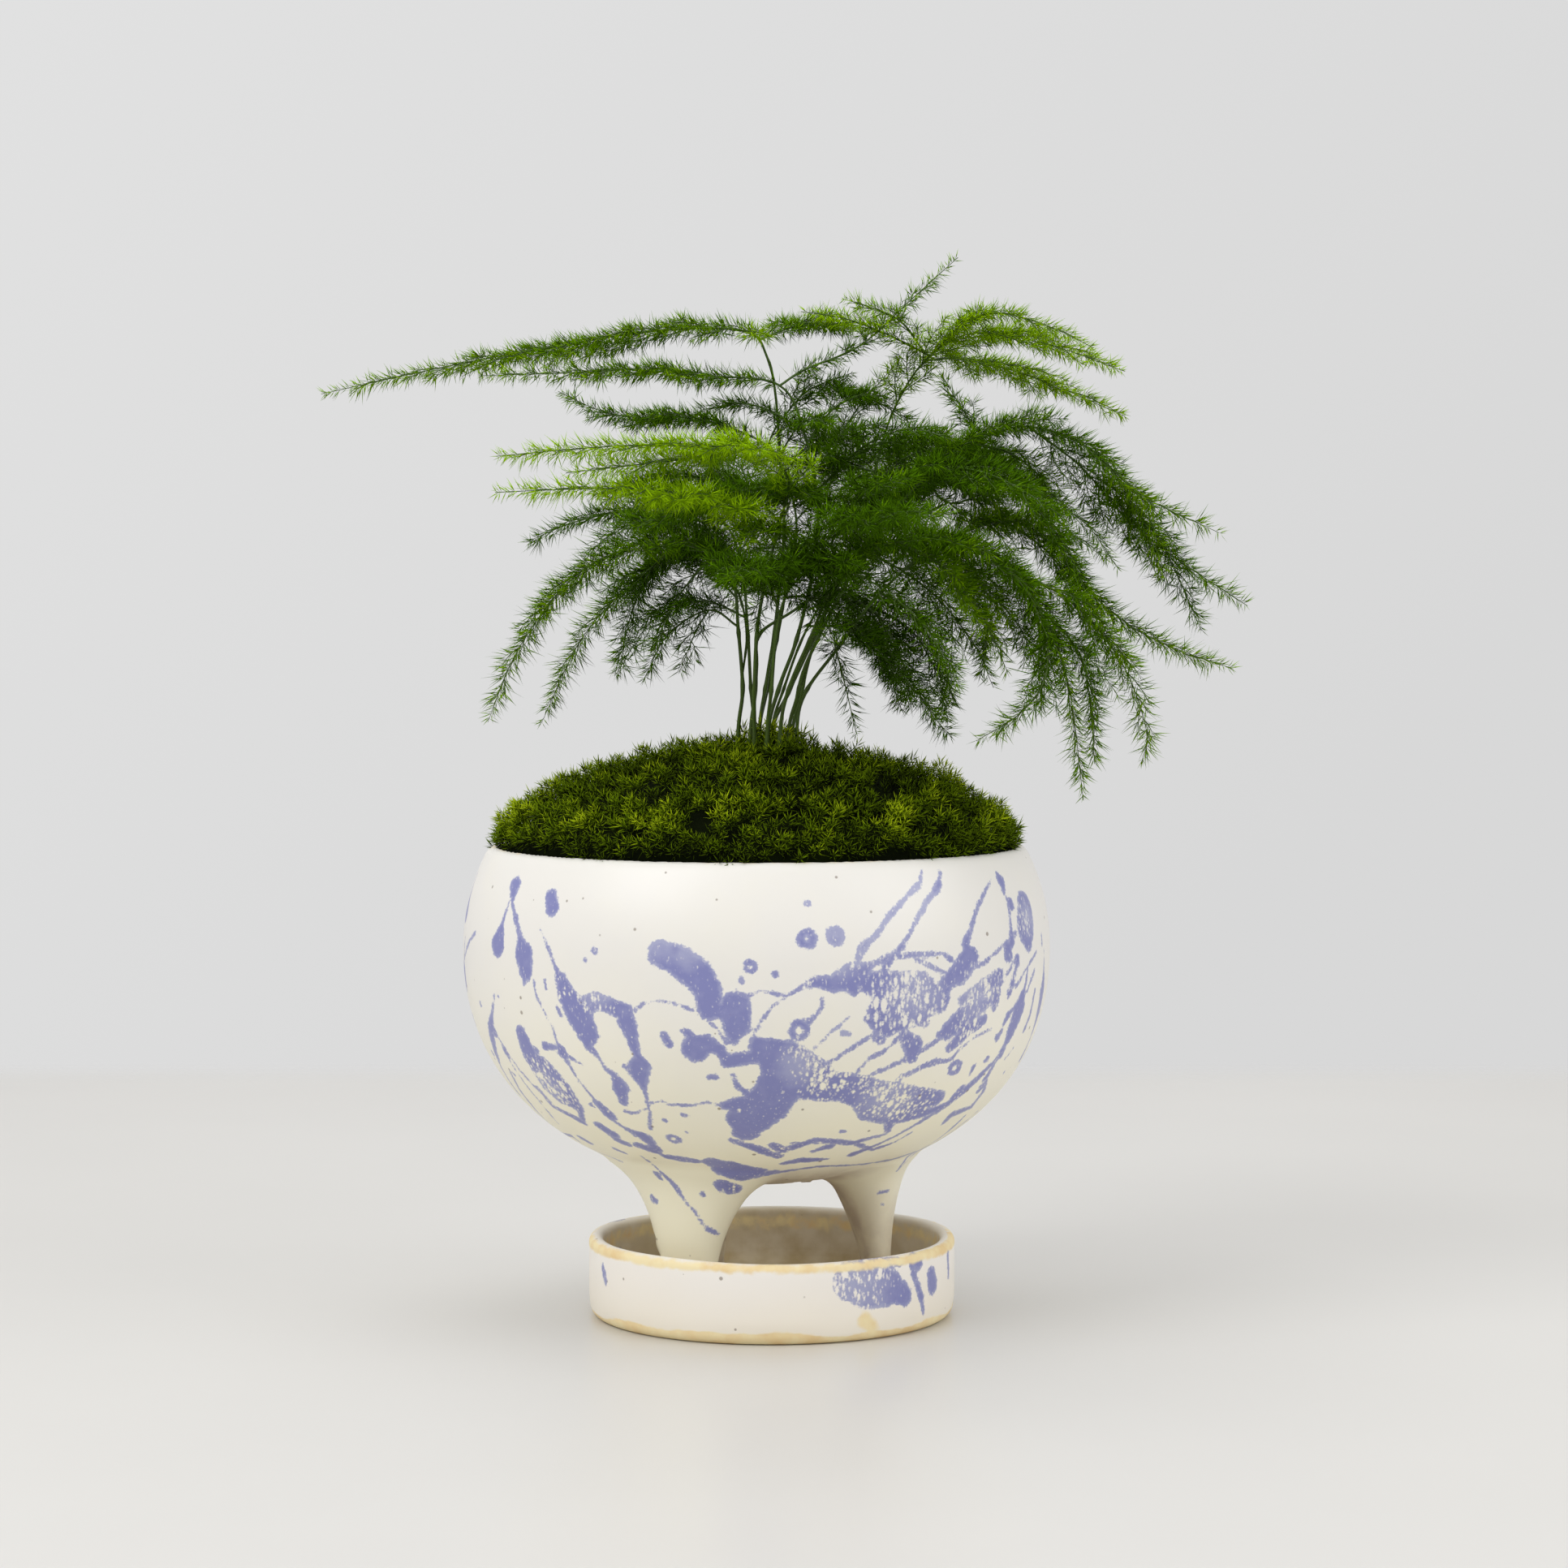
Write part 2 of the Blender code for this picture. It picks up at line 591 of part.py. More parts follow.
def shoot_bar(route, bare, parents):
    """One shoot as a bar: its bare stem, then its leafy axis with a pair of rings at each whorl."""
    points = [Vector(p) for p in route]
    base = STEM_RADIUS
    if parents:
        points[0] = on_bars(parents, points[0])
        base = AXIS_RADIUS
    else:
        points.insert(0, Vector((points[0].x, points[0].y, STEM_FOOT_Z)))
        bare += points[1].z - STEM_FOOT_Z
    line = smooth_line(points, LINE_STEP)
    total = whole_length(line)
    count = max(1, round(bare / STEM_STRETCH))
    stem = [bare * k / count for k in range(count)]
    leafy, whorls = needle_rings(bare, total - BARE_TIP, WHORL_PITCH)
    lengths = [*stem, *leafy, total]
    radii = [base + (AXIS_RADIUS - base) * s / bare for s in stem]
    radii += [AXIS_RADIUS + (TIP_RADIUS - AXIS_RADIUS) * (s - bare) / (total - bare) for s in (*leafy, total)]
    whorl_lengths = [leafy[k - 1] for k in whorls]
    bar = Bar(at_lengths(line, lengths), radii, [count - 1 + k for k in whorls])
    return bar, line, whorl_lengths, max(bare, LEAST_BARE), total


def twig_bar(root, ahead, aside, length):
    """A side twig that leaves its axis at an angle, bends forward and droops a little."""
    lead = ahead * math.cos(TWIG_ANGLE) + aside * math.sin(TWIG_ANGLE)
    curl = ahead * TWIG_CURL - Vector((0, 0, TWIG_DROOP))
    places = []
    for s in (0, length - NEEDLE_ROOT, length):
        places.append(root + lead * s + curl * (s * s / length))
    return Bar(places, [TWIG_RADIUS, TWIG_TIP_RADIUS, TIP_RADIUS], [1])


def fits(bar, room, owner):
    return all(room.free(a, b, radius, owner)
               for a, b, radius in zip(bar.points, bar.points[1:], bar.radii))


def shoot_twigs(bar, line, whorl_lengths, bare, total, half_width, room, owner, draw):
    """The flat spray of twigs to both sides of a shoot, each bent clear of the other stems."""
    twigs = []
    leafy = total - bare
    count = max(2, round(leafy / TWIG_PITCH))
    lengths = [bare + leafy * (k + TWIG_FIRST) / count for k in range(count)]
    for k, s in enumerate(lengths):
        whorl = min(whorl_lengths, key=lambda n: abs(n - s))
        if abs(whorl - s) < TWIG_BEHIND_WHORL:
            lengths[k] = whorl - TWIG_BEHIND_WHORL
    roots = at_lengths(line, lengths)
    ahead_of = at_lengths(line, [s + LINE_STEP for s in lengths])
    side = draw.choice((-1, 1))
    for s, root, further in zip(lengths, roots, ahead_of):
        side = -side
        root = nearest_on(bar.points, root)
        left = 1 - (s - bare) / leafy
        reach = half_width * TWIG_REACH * left ** TWIG_SHORTENING + TWIG_MORE
        ahead = (further - root).normalized()
        flat = ahead.cross(Vector((0, 0, 1)))
        flat = flat.normalized() if flat.length > 0.2 else Vector((0, 1, 0))
        rise = flat.cross(ahead)
        tilt = draw.uniform(*TWIG_TILT)
        for share, lift in TWIG_TRIES:
            aside = (flat * side + rise * (tilt + lift)).normalized()
            twig = twig_bar(root, ahead, aside, max(TWIG_LEAST, reach * share))
            if fits(twig, room, owner):
                twigs.append(twig)
                break
    return twigs


def section(name, sides):
    """A small regular outline, 1 mm in radius, that a tube follows."""
    outline = bpy.data.curves.new(name, "CURVE")
    line = outline.splines.new("POLY")
    line.points.add(sides - 1)
    line.use_cyclic_u = True
    for k, point in enumerate(line.points):
        turn = math.tau * k / sides
        point.co = (MM * math.cos(turn), MM * math.sin(turn), 0, 1)
    obj = bpy.data.objects.new(name, outline)
    bpy.context.scene.collection.objects.link(obj)
    return helper(obj)


def bar_mesh(bar, outline):
    """A bar as a closed mesh: a curve with an outline along it, its caps welded."""
    data = bpy.data.curves.new("bar", "CURVE")
    data.dimensions = "3D"
    data.bevel_mode = "OBJECT"
    data.bevel_object = outline
    data.use_fill_caps = True
    line = data.splines.new("POLY")
    line.points.add(len(bar.points) - 1)
    for k, (point, place, radius) in enumerate(zip(line.points, bar.points, bar.radii)):
        point.co = (*(place * MM), 1)
        point.radius = radius
        point.tilt = 0.5 * k
    guide = bpy.data.objects.new("bar", data)
    bpy.context.scene.collection.objects.link(guide)
    bpy.context.view_layer.update()
    mesh = as_mesh(guide)
    bpy.data.objects.remove(guide)
    bm = bmesh.new()
    bm.from_mesh(mesh)
    bmesh.ops.remove_doubles(bm, verts=bm.verts, dist=MM * 0.001)
    bmesh.ops.recalc_face_normals(bm, faces=bm.faces)
    bm.to_mesh(mesh)
    bm.free()
    return mesh


def raise_needles(mesh, bar, room, owner, draw):
    """Raises one needle from each side of the bar's short stretches, leaning to the bar's tip."""
    bm = bmesh.new()
    bm.from_mesh(mesh)
    for whorl in bar.whorls:
        a, b = bar.points[whorl], bar.points[whorl + 1]
        ahead = (b - a).normalized()
        middle = (a + b) / 2
        faces = [face for face in bm.faces if len(face.verts) == 4
                 and abs((face.calc_center_median() / MM - middle).dot(ahead)) < 0.2
                 and (face.calc_center_median() / MM - middle).length < 1.0]
        for face in faces:
            root = face.calc_center_median() / MM
            out = (root - middle) - ahead * (root - middle).dot(ahead)
            lean = ahead * math.cos(NEEDLE_LEAN) + out.normalized() * math.sin(NEEDLE_LEAN)
            tip = root + lean * NEEDLE_LENGTH * draw.uniform(*NEEDLE_SPREAD)
            if not room.free(root, tip, NEEDLE_RADIUS, owner):
                continue
            room.add(root, tip, NEEDLE_RADIUS, owner)
            half = bmesh.ops.triangulate(bm, faces=[face])["faces"]
            needle = bmesh.ops.poke(bm, faces=[half[0]])["verts"][0]
            needle.co = tip * MM
    bmesh.ops.triangulate(bm, faces=bm.faces)
    bm.to_mesh(mesh)
    bm.free()


def keep_biggest(mesh):
    """Drops the scraps and fills the hollows that fusing leaves: all but the largest closed skin."""
    bm = bmesh.new()
    bm.from_mesh(mesh)
    bmesh.ops.triangulate(bm, faces=bm.faces)
    left = set(bm.faces)
    skins = []
    while left:
        skin = []
        border = [left.pop()]
        while border:
            face = border.pop()
            skin.append(face)
            near = {other for edge in face.edges if len(edge.link_faces) == 2
                    for other in edge.link_faces} & left
            left -= near
            border += near
        skins.append(skin)
    skins.sort(key=len)
    scraps = [face for skin in skins[:-1] for face in skin]
    bmesh.ops.delete(bm, geom=scraps, context="FACES")
    bm.to_mesh(mesh)
    bm.free()


def make_stems(group, finish):
    """Every leafy stem: its shoots, sprays of twigs and needles, fused to one body."""
    draw = random.Random(SEED)
    room = Room(MOST_BARS)
    outline = section("stem_outline", STEM_SIDES)
    plans = {}
    for owner, (name, shoots) in enumerate(STEMS.items()):
        bars, sprays = [], []
        for route, bare, half_width in shoots:
            spray = shoot_bar(route, bare, bars)
            bars.append(spray[0])
            sprays.append((*spray, half_width))
        plans[name] = (bars, sprays)
        for bar in bars:
            for a, b, radius in zip(bar.points, bar.points[1:], bar.radii):
                room.add(a, b, radius, owner)
    for owner, (bars, sprays) in enumerate(plans.values()):
        for spray in sprays:
            for twig in shoot_twigs(*spray, room, owner, draw):
                bars.append(twig)
                for a, b, radius in zip(twig.points, twig.points[1:], twig.radii):
                    room.add(a, b, radius, owner)
    for owner, (name, (bars, _)) in enumerate(plans.items()):
        meshes = []
        for bar in bars:
            mesh = bar_mesh(bar, outline)
            raise_needles(mesh, bar, room, owner, draw)
            meshes.append(mesh)
        stem = placed(name, meshes[0], group, finish)
        joined = new_collection("shoots_" + name)
        for mesh in meshes[1:]:
            helper(placed("shoot", mesh, joined, finish))
        boolean(stem, "UNION", joined, "MANIFOLD")
        whole = as_mesh(stem)
        keep_biggest(whole)
        stem.modifiers.clear()
        stem.data = whole
        for obj in list(joined.objects):
            bpy.data.objects.remove(obj)
        bpy.data.collections.remove(joined)


def main():
    clear_scene()
    group = new_collection("potted_asparagus_fern")
    root = bpy.data.objects.new("fern_origin", None)
    group.objects.link(root)
    pot_axis = bpy.data.objects.new("pot_axis", None)
    group.objects.link(pot_axis)
    pot_axis.parent = root
    pot_axis.location = (POT_X * MM, 0, POT_FEET_Z * MM)
    glaze = material("glazed_stoneware", (0.80, 0.77, 0.72), 0.4)
    make_stems(group, material("fern_green", (0.05, 0.16, 0.02), 0.55))
    make_saucer(group, root, glaze)
    make_pot(group, pot_axis, glaze)
    holes = make_stem_holes()
    make_soil(group, pot_axis, material("potting_soil", (0.05, 0.035, 0.02), 0.95), holes)
    make_moss(group, pot_axis, material("cushion_moss", (0.10, 0.14, 0.01), 0.9), holes)


main()
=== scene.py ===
"""An asparagus fern growing from moss in a splash-glazed, three-legged stoneware bowl on its saucer.

Lengths are in millimetres in the part's frame unless a name says otherwise: +Z is up, -Y is the
front, and the origin is the middle of the saucer's underside. MM turns them to Blender's metres.
"""

import math
import random

import bmesh
import bpy
import numpy as np
from mathutils import Matrix, Vector, noise


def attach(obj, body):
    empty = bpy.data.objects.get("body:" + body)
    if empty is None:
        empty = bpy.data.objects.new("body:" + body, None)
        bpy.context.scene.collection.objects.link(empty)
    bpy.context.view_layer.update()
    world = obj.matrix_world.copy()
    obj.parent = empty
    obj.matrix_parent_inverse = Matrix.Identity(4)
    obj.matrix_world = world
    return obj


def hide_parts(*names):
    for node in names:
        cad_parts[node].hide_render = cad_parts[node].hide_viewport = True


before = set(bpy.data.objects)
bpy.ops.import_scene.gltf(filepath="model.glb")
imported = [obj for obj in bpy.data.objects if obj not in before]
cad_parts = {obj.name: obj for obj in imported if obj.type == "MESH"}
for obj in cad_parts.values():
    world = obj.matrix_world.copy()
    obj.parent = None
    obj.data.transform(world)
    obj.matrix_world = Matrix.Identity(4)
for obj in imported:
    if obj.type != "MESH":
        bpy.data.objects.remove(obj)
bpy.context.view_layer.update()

MM = 0.001
SEED = 11

# Camera: the photograph is 1932 pixels wide and high, and its focal length in pixels is measured
# from how the saucer's and the bowl's ellipses narrow with their height.
PHOTO_PIXELS = 1932
FOCAL_PIXELS = 4790
HORIZON_PIXELS = 235
SENSOR = 36
CAMERA_PLACE = (3, -930, 173)

# Table top: its far edge is where the photograph's table meets the wall
TABLE_HALF_DEPTH = 500
TABLE_HALF_WIDTH = 3000
TABLE_FADE = 34

# Saucer
SAUCER_RADIUS = 44.0
SAUCER_HEIGHT = 19.0
SAUCER_WALL = 3.6
SAUCER_FLOOR = 4.5
SAUCER_SIDES = 360
SAUCER_RINGS = 18
SAUCER_FLOOR_RINGS = 16
SAUCER_FLOOR_RING = 2.0

# Pot, in its own frame: its axis stands at POT_X, and heights are measured up from its feet
POT_X = -3.4
POT_FEET_Z = 4.8
BOWL_RADIUS = 70.0
BOWL_WIDEST_Z = 84.2
BOWL_DEPTH = 56.6
BOWL_DOME = 58.0
BOWL_FULLNESS = 2.2
BOWL_TOP_Z = 108.3
BOWL_WALL = 4.4
BOWL_FLOOR = 5.6
LIP_WALL = 2.7
LIP_DEPTH = 8.0
LEG_ANGLES = (0, 122, 234.5)
LEG_FLARE_Z = 30.2
LEG_BLEND = 4.5
DRAIN_RADIUS = 6.0
RIDGE_RADIUS = 11.5
RIDGE_WIDTH = 1.7
POT_VOXEL = 1.08
EDGE_BAND = 1.15

# Directions from which the pot's sides and back get their splashes and frothy places, in degrees
BACK_TURNS = (78, 130, 182, 234, 282)
BACK_FROTH_TURNS = (90, 140, 190, 240, 285)

# Moss mound, in the pot's frame
MOUND_RADIUS = 61.2
MOUND_HEIGHT = 23.8
MOUND_ROUNDNESS = 0.75
MOUND_EDGE_Z = 108.6
MOSS_THICKNESS = 6.4
MOSS_TUFTS = 320
TUFT_SPRIGS = 10
TUFT_RADIUS = 3.4
MOSS_LEAVES = 15
RIM_SPRIGS = 440
GOLDEN_TURN = 2.399963

# Fern
STEM_FOOT_Z = 118.0
STEM_RADIUS = 0.56
AXIS_RADIUS = 0.3
TWIG_RADIUS = 0.17
TIP_RADIUS = 0.07
KNOT_PITCH = 13.0
KNOT_SWELL = 0.4
NEEDLE_LENGTH = 5.1
NEEDLE_RADIUS = 0.145
CLUSTER_PITCH = 2.0
CLUSTER_NEEDLES = 9
TWIG_PITCH = 2.85
TWIG_ANGLE = math.radians(48)
TWIG_REACH = 1.6

# The fern's stems: each is a tuple of shoots, and a shoot is its route, the length of it that is bare,
# the half width of its flat spray, and how fresh its green is: 0 is old and dark, 1 is new and bright.
# The routes were read from the photograph in pixels, with a depth chosen for each point, turned to
# millimetres by a helper script with this camera, and then moved or added to by hand.
STEMS = {
    "fern_stem_01": (
        (((-8, 1, 139), (-7, 1, 148), (-7, 1, 153), (-8, 1, 165), (-9, 0, 175), (-14, -4, 182),
          (-23, -9, 185), (-33, -13, 184), (-47, -18, 176), (-59, -22, 160), (-66, -25, 143)), 44, 13, 0.33),
        (((-7, 1, 153), (-6, 4, 163), (-8, 9, 173), (-14, 16, 182), (-24, 22, 182), (-38, 27, 172),
          (-48, 30, 160), (-57, 32, 141)), 26, 13, 0.3),
        (((-8, 1, 165), (-15, 4, 169), (-25, 8, 163), (-31, 10, 152)), 8, 7, 0.2),
        (((-15, 4, 169), (-18, 0, 164), (-22, -4, 154)), 3, 5, 0.2),
    ),
    "fern_stem_02": (
        (((-5, -2, 139), (-4, -2, 148), (-3.5, -2, 156), (-3, -1, 163), (4, 2, 168), (15, 11, 174),
          (24, 22, 170), (31, 30, 158), (39, 36, 144), (45, 38, 137)), 40, 15, 0.1),
    ),
    "fern_stem_03": (
        (((-3, 3, 139), (-1, 4, 153), (1, 5, 166), (3, 5, 189), (2, 3, 206), (1, 0, 220), (-1, -2, 229),
          (-6, -4, 235), (-25, -10, 235), (-49, -16, 231), (-74, -22, 226), (-104, -28, 219)), 98, 15, 0.4),
        (((-3.5, -3, 233), (8, 13, 238), (20, 30, 239)), 3, 14, 0.4),
        (((3, 5, 189), (-8, 9, 199), (-26, 14, 201), (-43, 16, 197)), 6, 14, 0.2),
    ),
    "fern_stem_04": (
        (((-1, -4, 139), (2, -4, 151), (6, -4, 162), (10, -5, 179), (11, -5, 194), (8, -6, 210),
          (2, -8, 222), (-15, -14, 224), (-32, -20, 225), (-47, -26, 224), (-67, -32, 223)), 88, 13, 0.35),
        (((2, -8, 222), (8, -5, 226), (21, 2, 232), (33, 9, 243), (45, 14, 254)), 5, 7, 0.35),
        (((11, -5, 194), (2, -16, 198), (-14, -27, 195), (-31, -35, 188)), 6, 14, 0.2),
    ),
    "fern_stem_05": (
        (((0, 4, 139), (4, 5, 149), (10, 7, 162), (17, 10, 179), (24, 13, 199), (29, 13, 216),
          (37, 9, 229), (48, 3, 235), (65, -5, 232), (83, -14, 225)), 86, 20, 0.65),
        (((37, 9, 229), (49, 22, 230), (68, 34, 225), (88, 42, 217)), 6, 15, 0.6),
        (((24, 13, 199), (36, 4, 207), (52, 0, 205), (66, 2, 198)), 6, 14, 0.2),
    ),
    "fern_stem_06": (
        (((4, -6, 139), (6, -7, 148), (9, -9, 158), (21, -14, 181), (34, -17, 198), (47, -18, 208),
          (60, -18, 212), (74, -20, 207), (86, -22, 196), (104, -26, 187)), 52, 14, 0.25),
        (((60, -18, 212), (73, -9, 203), (84, -5, 191), (97, -1, 181), (114, 2, 170)), 4, 13, 0.25),
        (((34, -17, 198), (40, -32, 202), (52, -46, 199), (66, -56, 190)), 5, 14, 0.15),
    ),
    "fern_stem_07": (
        (((6, -1, 139), (8, 0, 149), (16, 1, 160), (26, 2, 173), (39, 0, 184), (56, -4, 190),
          (68, -6, 183), (78, -6, 171), (91, -5, 162), (110, -4, 155)), 46, 15, 0.3),
        (((16, 1, 160), (15, -9, 161), (17, -15, 153), (20, -19, 140)), 5, 3, 0.1),
    ),
    "fern_stem_08": (
        (((5, 5, 139), (7, 6, 148), (10, 10, 160), (17, 19, 176), (28, 26, 191), (40, 30, 203),
          (52, 36, 208), (63, 42, 202), (73, 48, 190), (85, 52, 181)), 48, 15, 0.15),
    ),
    "fern_stem_09": (
        (((2, -10, 139), (4, -11, 150), (9, -15, 162), (15, -24, 175), (26, -34, 184), (39, -40, 186),
          (53, -44, 179), (63, -46, 166), (68, -47, 150), (71, -48, 126)), 36, 14, 0.25),
        (((53, -44, 179), (69, -37, 171), (81, -32, 157), (87, -30, 141), (86, -29, 134)), 4, 12, 0.35),
        (((63, -46, 166), (62, -52, 154), (56, -57, 146), (46, -61, 140)), 4, 7, 0.3),
    ),
    "fern_stem_10": (
        (((-1, -12, 139), (0, -15, 150), (2, -20, 168), (8, -31, 181), (18, -48, 188), (29, -68, 191),
          (39, -88, 190)), 42, 14, 0.12),
        (((2, -20, 168), (0, -31, 174), (-3, -46, 178), (-6, -63, 179), (-8, -82, 176)), 8, 14, 0.08),
        (((8, -31, 181), (22, -50, 176), (34, -62, 166), (42, -70, 152)), 5, 9, 0.12),
    ),
    "fern_stem_11": (
        (((-4, -8, 139), (-4, -11, 150), (-3, -14, 167), (1, -20, 186), (4, -30, 199), (-3, -42, 206),
          (-16, -52, 206), (-29, -60, 206), (-42, -67, 205), (-60, -76, 203)), 60, 13, 0.75),
        (((1, -20, 186), (-7, -38, 192), (-24, -56, 196), (-41, -70, 196), (-60, -80, 195)), 7, 12, 0.7),
    ),
    "fern_stem_12": (
        (((-4, 7, 139), (-5, 9, 150), (-6, 16, 167), (-8, 28, 183), (-16, 40, 194), (-34, 50, 194),
          (-50, 58, 191), (-63, 65, 186)), 50, 14, 0.1),
        (((-8, 28, 183), (-6, 48, 199), (-11, 69, 208), (-20, 90, 208)), 8, 14, 0.3),
        (((-6, 16, 167), (-17, 32, 171), (-30, 46, 166), (-40, 58, 152)), 8, 10, 0.1),
    ),
    "fern_stem_13": (
        (((0, 10, 139), (3, 13, 150), (9, 22, 165), (20, 36, 181), (33, 49, 184), (44, 60, 173),
          (46, 66, 159), (43, 70, 141)), 40, 13, 0.15),
        (((20, 36, 181), (26, 57, 197), (36, 78, 207), (49, 96, 210)), 6, 14, 0.35),
        (((20, 36, 181), (6, 52, 185), (-4, 68, 180), (-10, 82, 168)), 6, 11, 0.3),
    ),
    "fern_stem_14": (
        (((-3, 12, 139), (-1, 16, 150), (3, 23, 171), (6, 27, 191), (0, 29, 208), (-15, 31, 215),
          (-30, 33, 216), (-42, 35, 218), (-53, 37, 223)), 76, 15, 0.2),
        (((6, 27, 191), (18, 42, 203), (34, 54, 210), (52, 62, 211)), 5, 15, 0.3),
    ),
}

# Shorter shoots that fill the crown out between those. The part's solids leave them out. Nearly half
# of them stand as that helper script worked them out.
FILLING = {
    "fern_stem_01": (
        (((-4, 10, 175), (-16, 0, 187), (-29, -8, 190), (-39, -12, 186), (-46, -14, 178)), 2, 13, 0.15),
        (((-7, 4, 173), (-18, 8, 181), (-28, 14, 179), (-35, 18, 170)), 2, 12, 0.1),
        (((-9, 4, 179), (-20, 12, 193), (-32, 20, 199), (-42, 26, 195)), 2, 13, 0.1),
        (((-14, -4, 182), (-20, -8, 175), (-25, -10, 167), (-28, -12, 158)), 2, 10, 0.1),
        (((-23, -9, 185), (-30, -6, 176), (-34, -4, 166), (-36, -2, 156)), 2, 9, 0.1),
    ),
    "fern_stem_02": (
        (((14, 12, 173), (22, 18, 167), (28, 22, 157), (32, 24, 147)), 2, 9, 0.1),
        (((15, 11, 174), (25, 8, 168), (31, 6, 158), (34, 4, 146)), 2, 10, 0.1),
        (((24, 22, 170), (34, 22, 164), (40, 20, 154), (43, 18, 142)), 2, 11, 0.1),
    ),
    "fern_stem_03": (
        (((-4, -4, 234), (-4, -12, 234), (-3, -22, 234)), 2, 5, 0.6),
        (((2, 3, 206), (6, -6, 212), (10, -16, 214), (13, -26, 212)), 2, 10, 0.2),
        (((3, 5, 190), (5, -8, 196), (7, -24, 197), (9, -38, 195)), 2, 10, 0.1),
        (((3, 5, 196), (8, -4, 202), (12, -12, 205), (14, -20, 205)), 2, 10, 0.1),
    ),
    "fern_stem_04": (
        (((11, -8, 171), (21, -16, 164), (30, -22, 154), (41, -26, 143)), 2, 9, 0.12),
        (((11, -10, 187), (21, -30, 196), (31, -52, 199)), 2, 13, 0.12),
        (((11, -4, 198), (21, -14, 207), (32, -26, 211), (42, -36, 208)), 2, 13, 0.15),
        (((9, -6, 208), (14, -4, 216), (20, 0, 220), (27, 4, 220)), 2, 9, 0.15),
        (((6, -7, 212), (-2, -4, 217), (-10, 0, 218), (-18, 4, 216)), 2, 9, 0.15),
        (((10, -5, 176), (6, -16, 180), (3, -28, 179), (1, -40, 175)), 2, 9, 0.1),
        (((10, -5, 179), (2, -10, 178), (-2, -14, 172), (-4, -16, 164)), 2, 8, 0.1),
    ),
    "fern_stem_05": (
        (((15, 8, 206), (21, 14, 218), (27, 20, 225), (31, 26, 230)), 2, 8, 0.3),
        (((50, -4, 202), (48, -4, 212), (44, -2, 219), (40, 0, 226)), 2, 10, 0.25),
        (((37, 9, 232), (27, 2, 235), (17, -6, 238), (7, -14, 239)), 2, 8, 0.65),
        (((39, 9, 233), (47, 0, 238), (55, -8, 239), (66, -16, 235), (75, -22, 230)), 2, 9, 0.6),
        (((27, 10, 181), (39, 14, 173), (49, 16, 161), (54, 16, 150)), 2, 9, 0.2),
        (((37, 9, 232), (31, 5, 238), (24, 2, 241), (17, 0, 243)), 2, 9, 0.5),
    ),
    "fern_stem_06": (
        (((84, -10, 194), (92, -4, 186), (98, 0, 175), (103, 2, 164)), 2, 9, 0.2),
        (((34, -17, 198), (42, -12, 199), (50, -8, 196), (57, -6, 190)), 2, 10, 0.2),
        (((44, -18, 205), (58, -24, 196), (68, -28, 184), (74, -30, 170)), 2, 11, 0.2),
        (((74, -20, 207), (82, -15, 199), (88, -10, 188), (93, -6, 176)), 2, 10, 0.3),
        (((47, -18, 208), (56, -12, 206), (64, -8, 200), (69, -6, 190)), 2, 10, 0.25),
    ),
    "fern_stem_07": (
        (((33, 0, 191), (46, -6, 179), (58, -10, 166), (64, -12, 152)), 2, 12, 0.25),
        (((26, 2, 173), (35, 6, 168), (41, 8, 158), (44, 8, 146)), 2, 10, 0.15),
        (((56, -4, 190), (66, -10, 182), (73, -14, 170), (77, -16, 157)), 2, 10, 0.25),
        (((44, 0, 186), (50, 4, 176), (52, 6, 164), (50, 8, 152)), 2, 12, 0.15),
    ),
    "fern_stem_08": (
        (((22, 22, 189), (32, 40, 199), (45, 56, 203), (58, 66, 200)), 2, 14, 0.1),
        (((44, 24, 195), (59, 20, 199), (75, 16, 191), (84, 14, 179)), 2, 11, 0.2),
        (((40, 30, 203), (50, 26, 196), (56, 22, 187), (60, 18, 178)), 2, 10, 0.15),
    ),
    "fern_stem_09": (
        (((28, -36, 188), (39, -40, 179), (48, -42, 168), (54, -44, 155)), 2, 12, 0.35),
        (((39, -40, 186), (52, -34, 180), (61, -32, 168), (66, -32, 152)), 2, 11, 0.25),
        (((53, -44, 179), (60, -38, 170), (62, -38, 158), (62, -38, 146)), 2, 12, 0.2),
        (((60, -45, 172), (70, -42, 160), (73, -42, 148), (74, -42, 134)), 2, 12, 0.25),
    ),
    "fern_stem_10": (
        (((7, -18, 177), (13, -40, 181), (20, -58, 179)), 2, 11, 0.08),
        (((3, -22, 172), (8, -30, 172), (12, -38, 168), (14, -44, 162)), 2, 10, 0.1),
    ),
    "fern_stem_11": (
        (((2, -14, 187), (-3, -34, 188), (-6, -52, 184)), 2, 10, 0.3),
        (((-3, -42, 206), (-16, -46, 204), (-30, -50, 202), (-46, -54, 200)), 2, 10, 0.6),
    ),
    "fern_stem_12": (
        (((-4, 20, 173), (-14, 26, 181), (-26, 34, 189), (-39, 42, 191)), 2, 15, 0.1),
    ),
    "fern_stem_13": (
        (((9, 22, 165), (20, 26, 164), (28, 28, 155), (32, 28, 144)), 2, 9, 0.1),
    ),
    "fern_stem_14": (
        (((2, 25, 215), (10, 20, 223), (19, 14, 222), (27, 6, 218), (35, -2, 212)), 2, 12, 0.15),
        (((7, 20, 207), (18, 34, 213), (28, 48, 216)), 2, 12, 0.1),
    ),
}

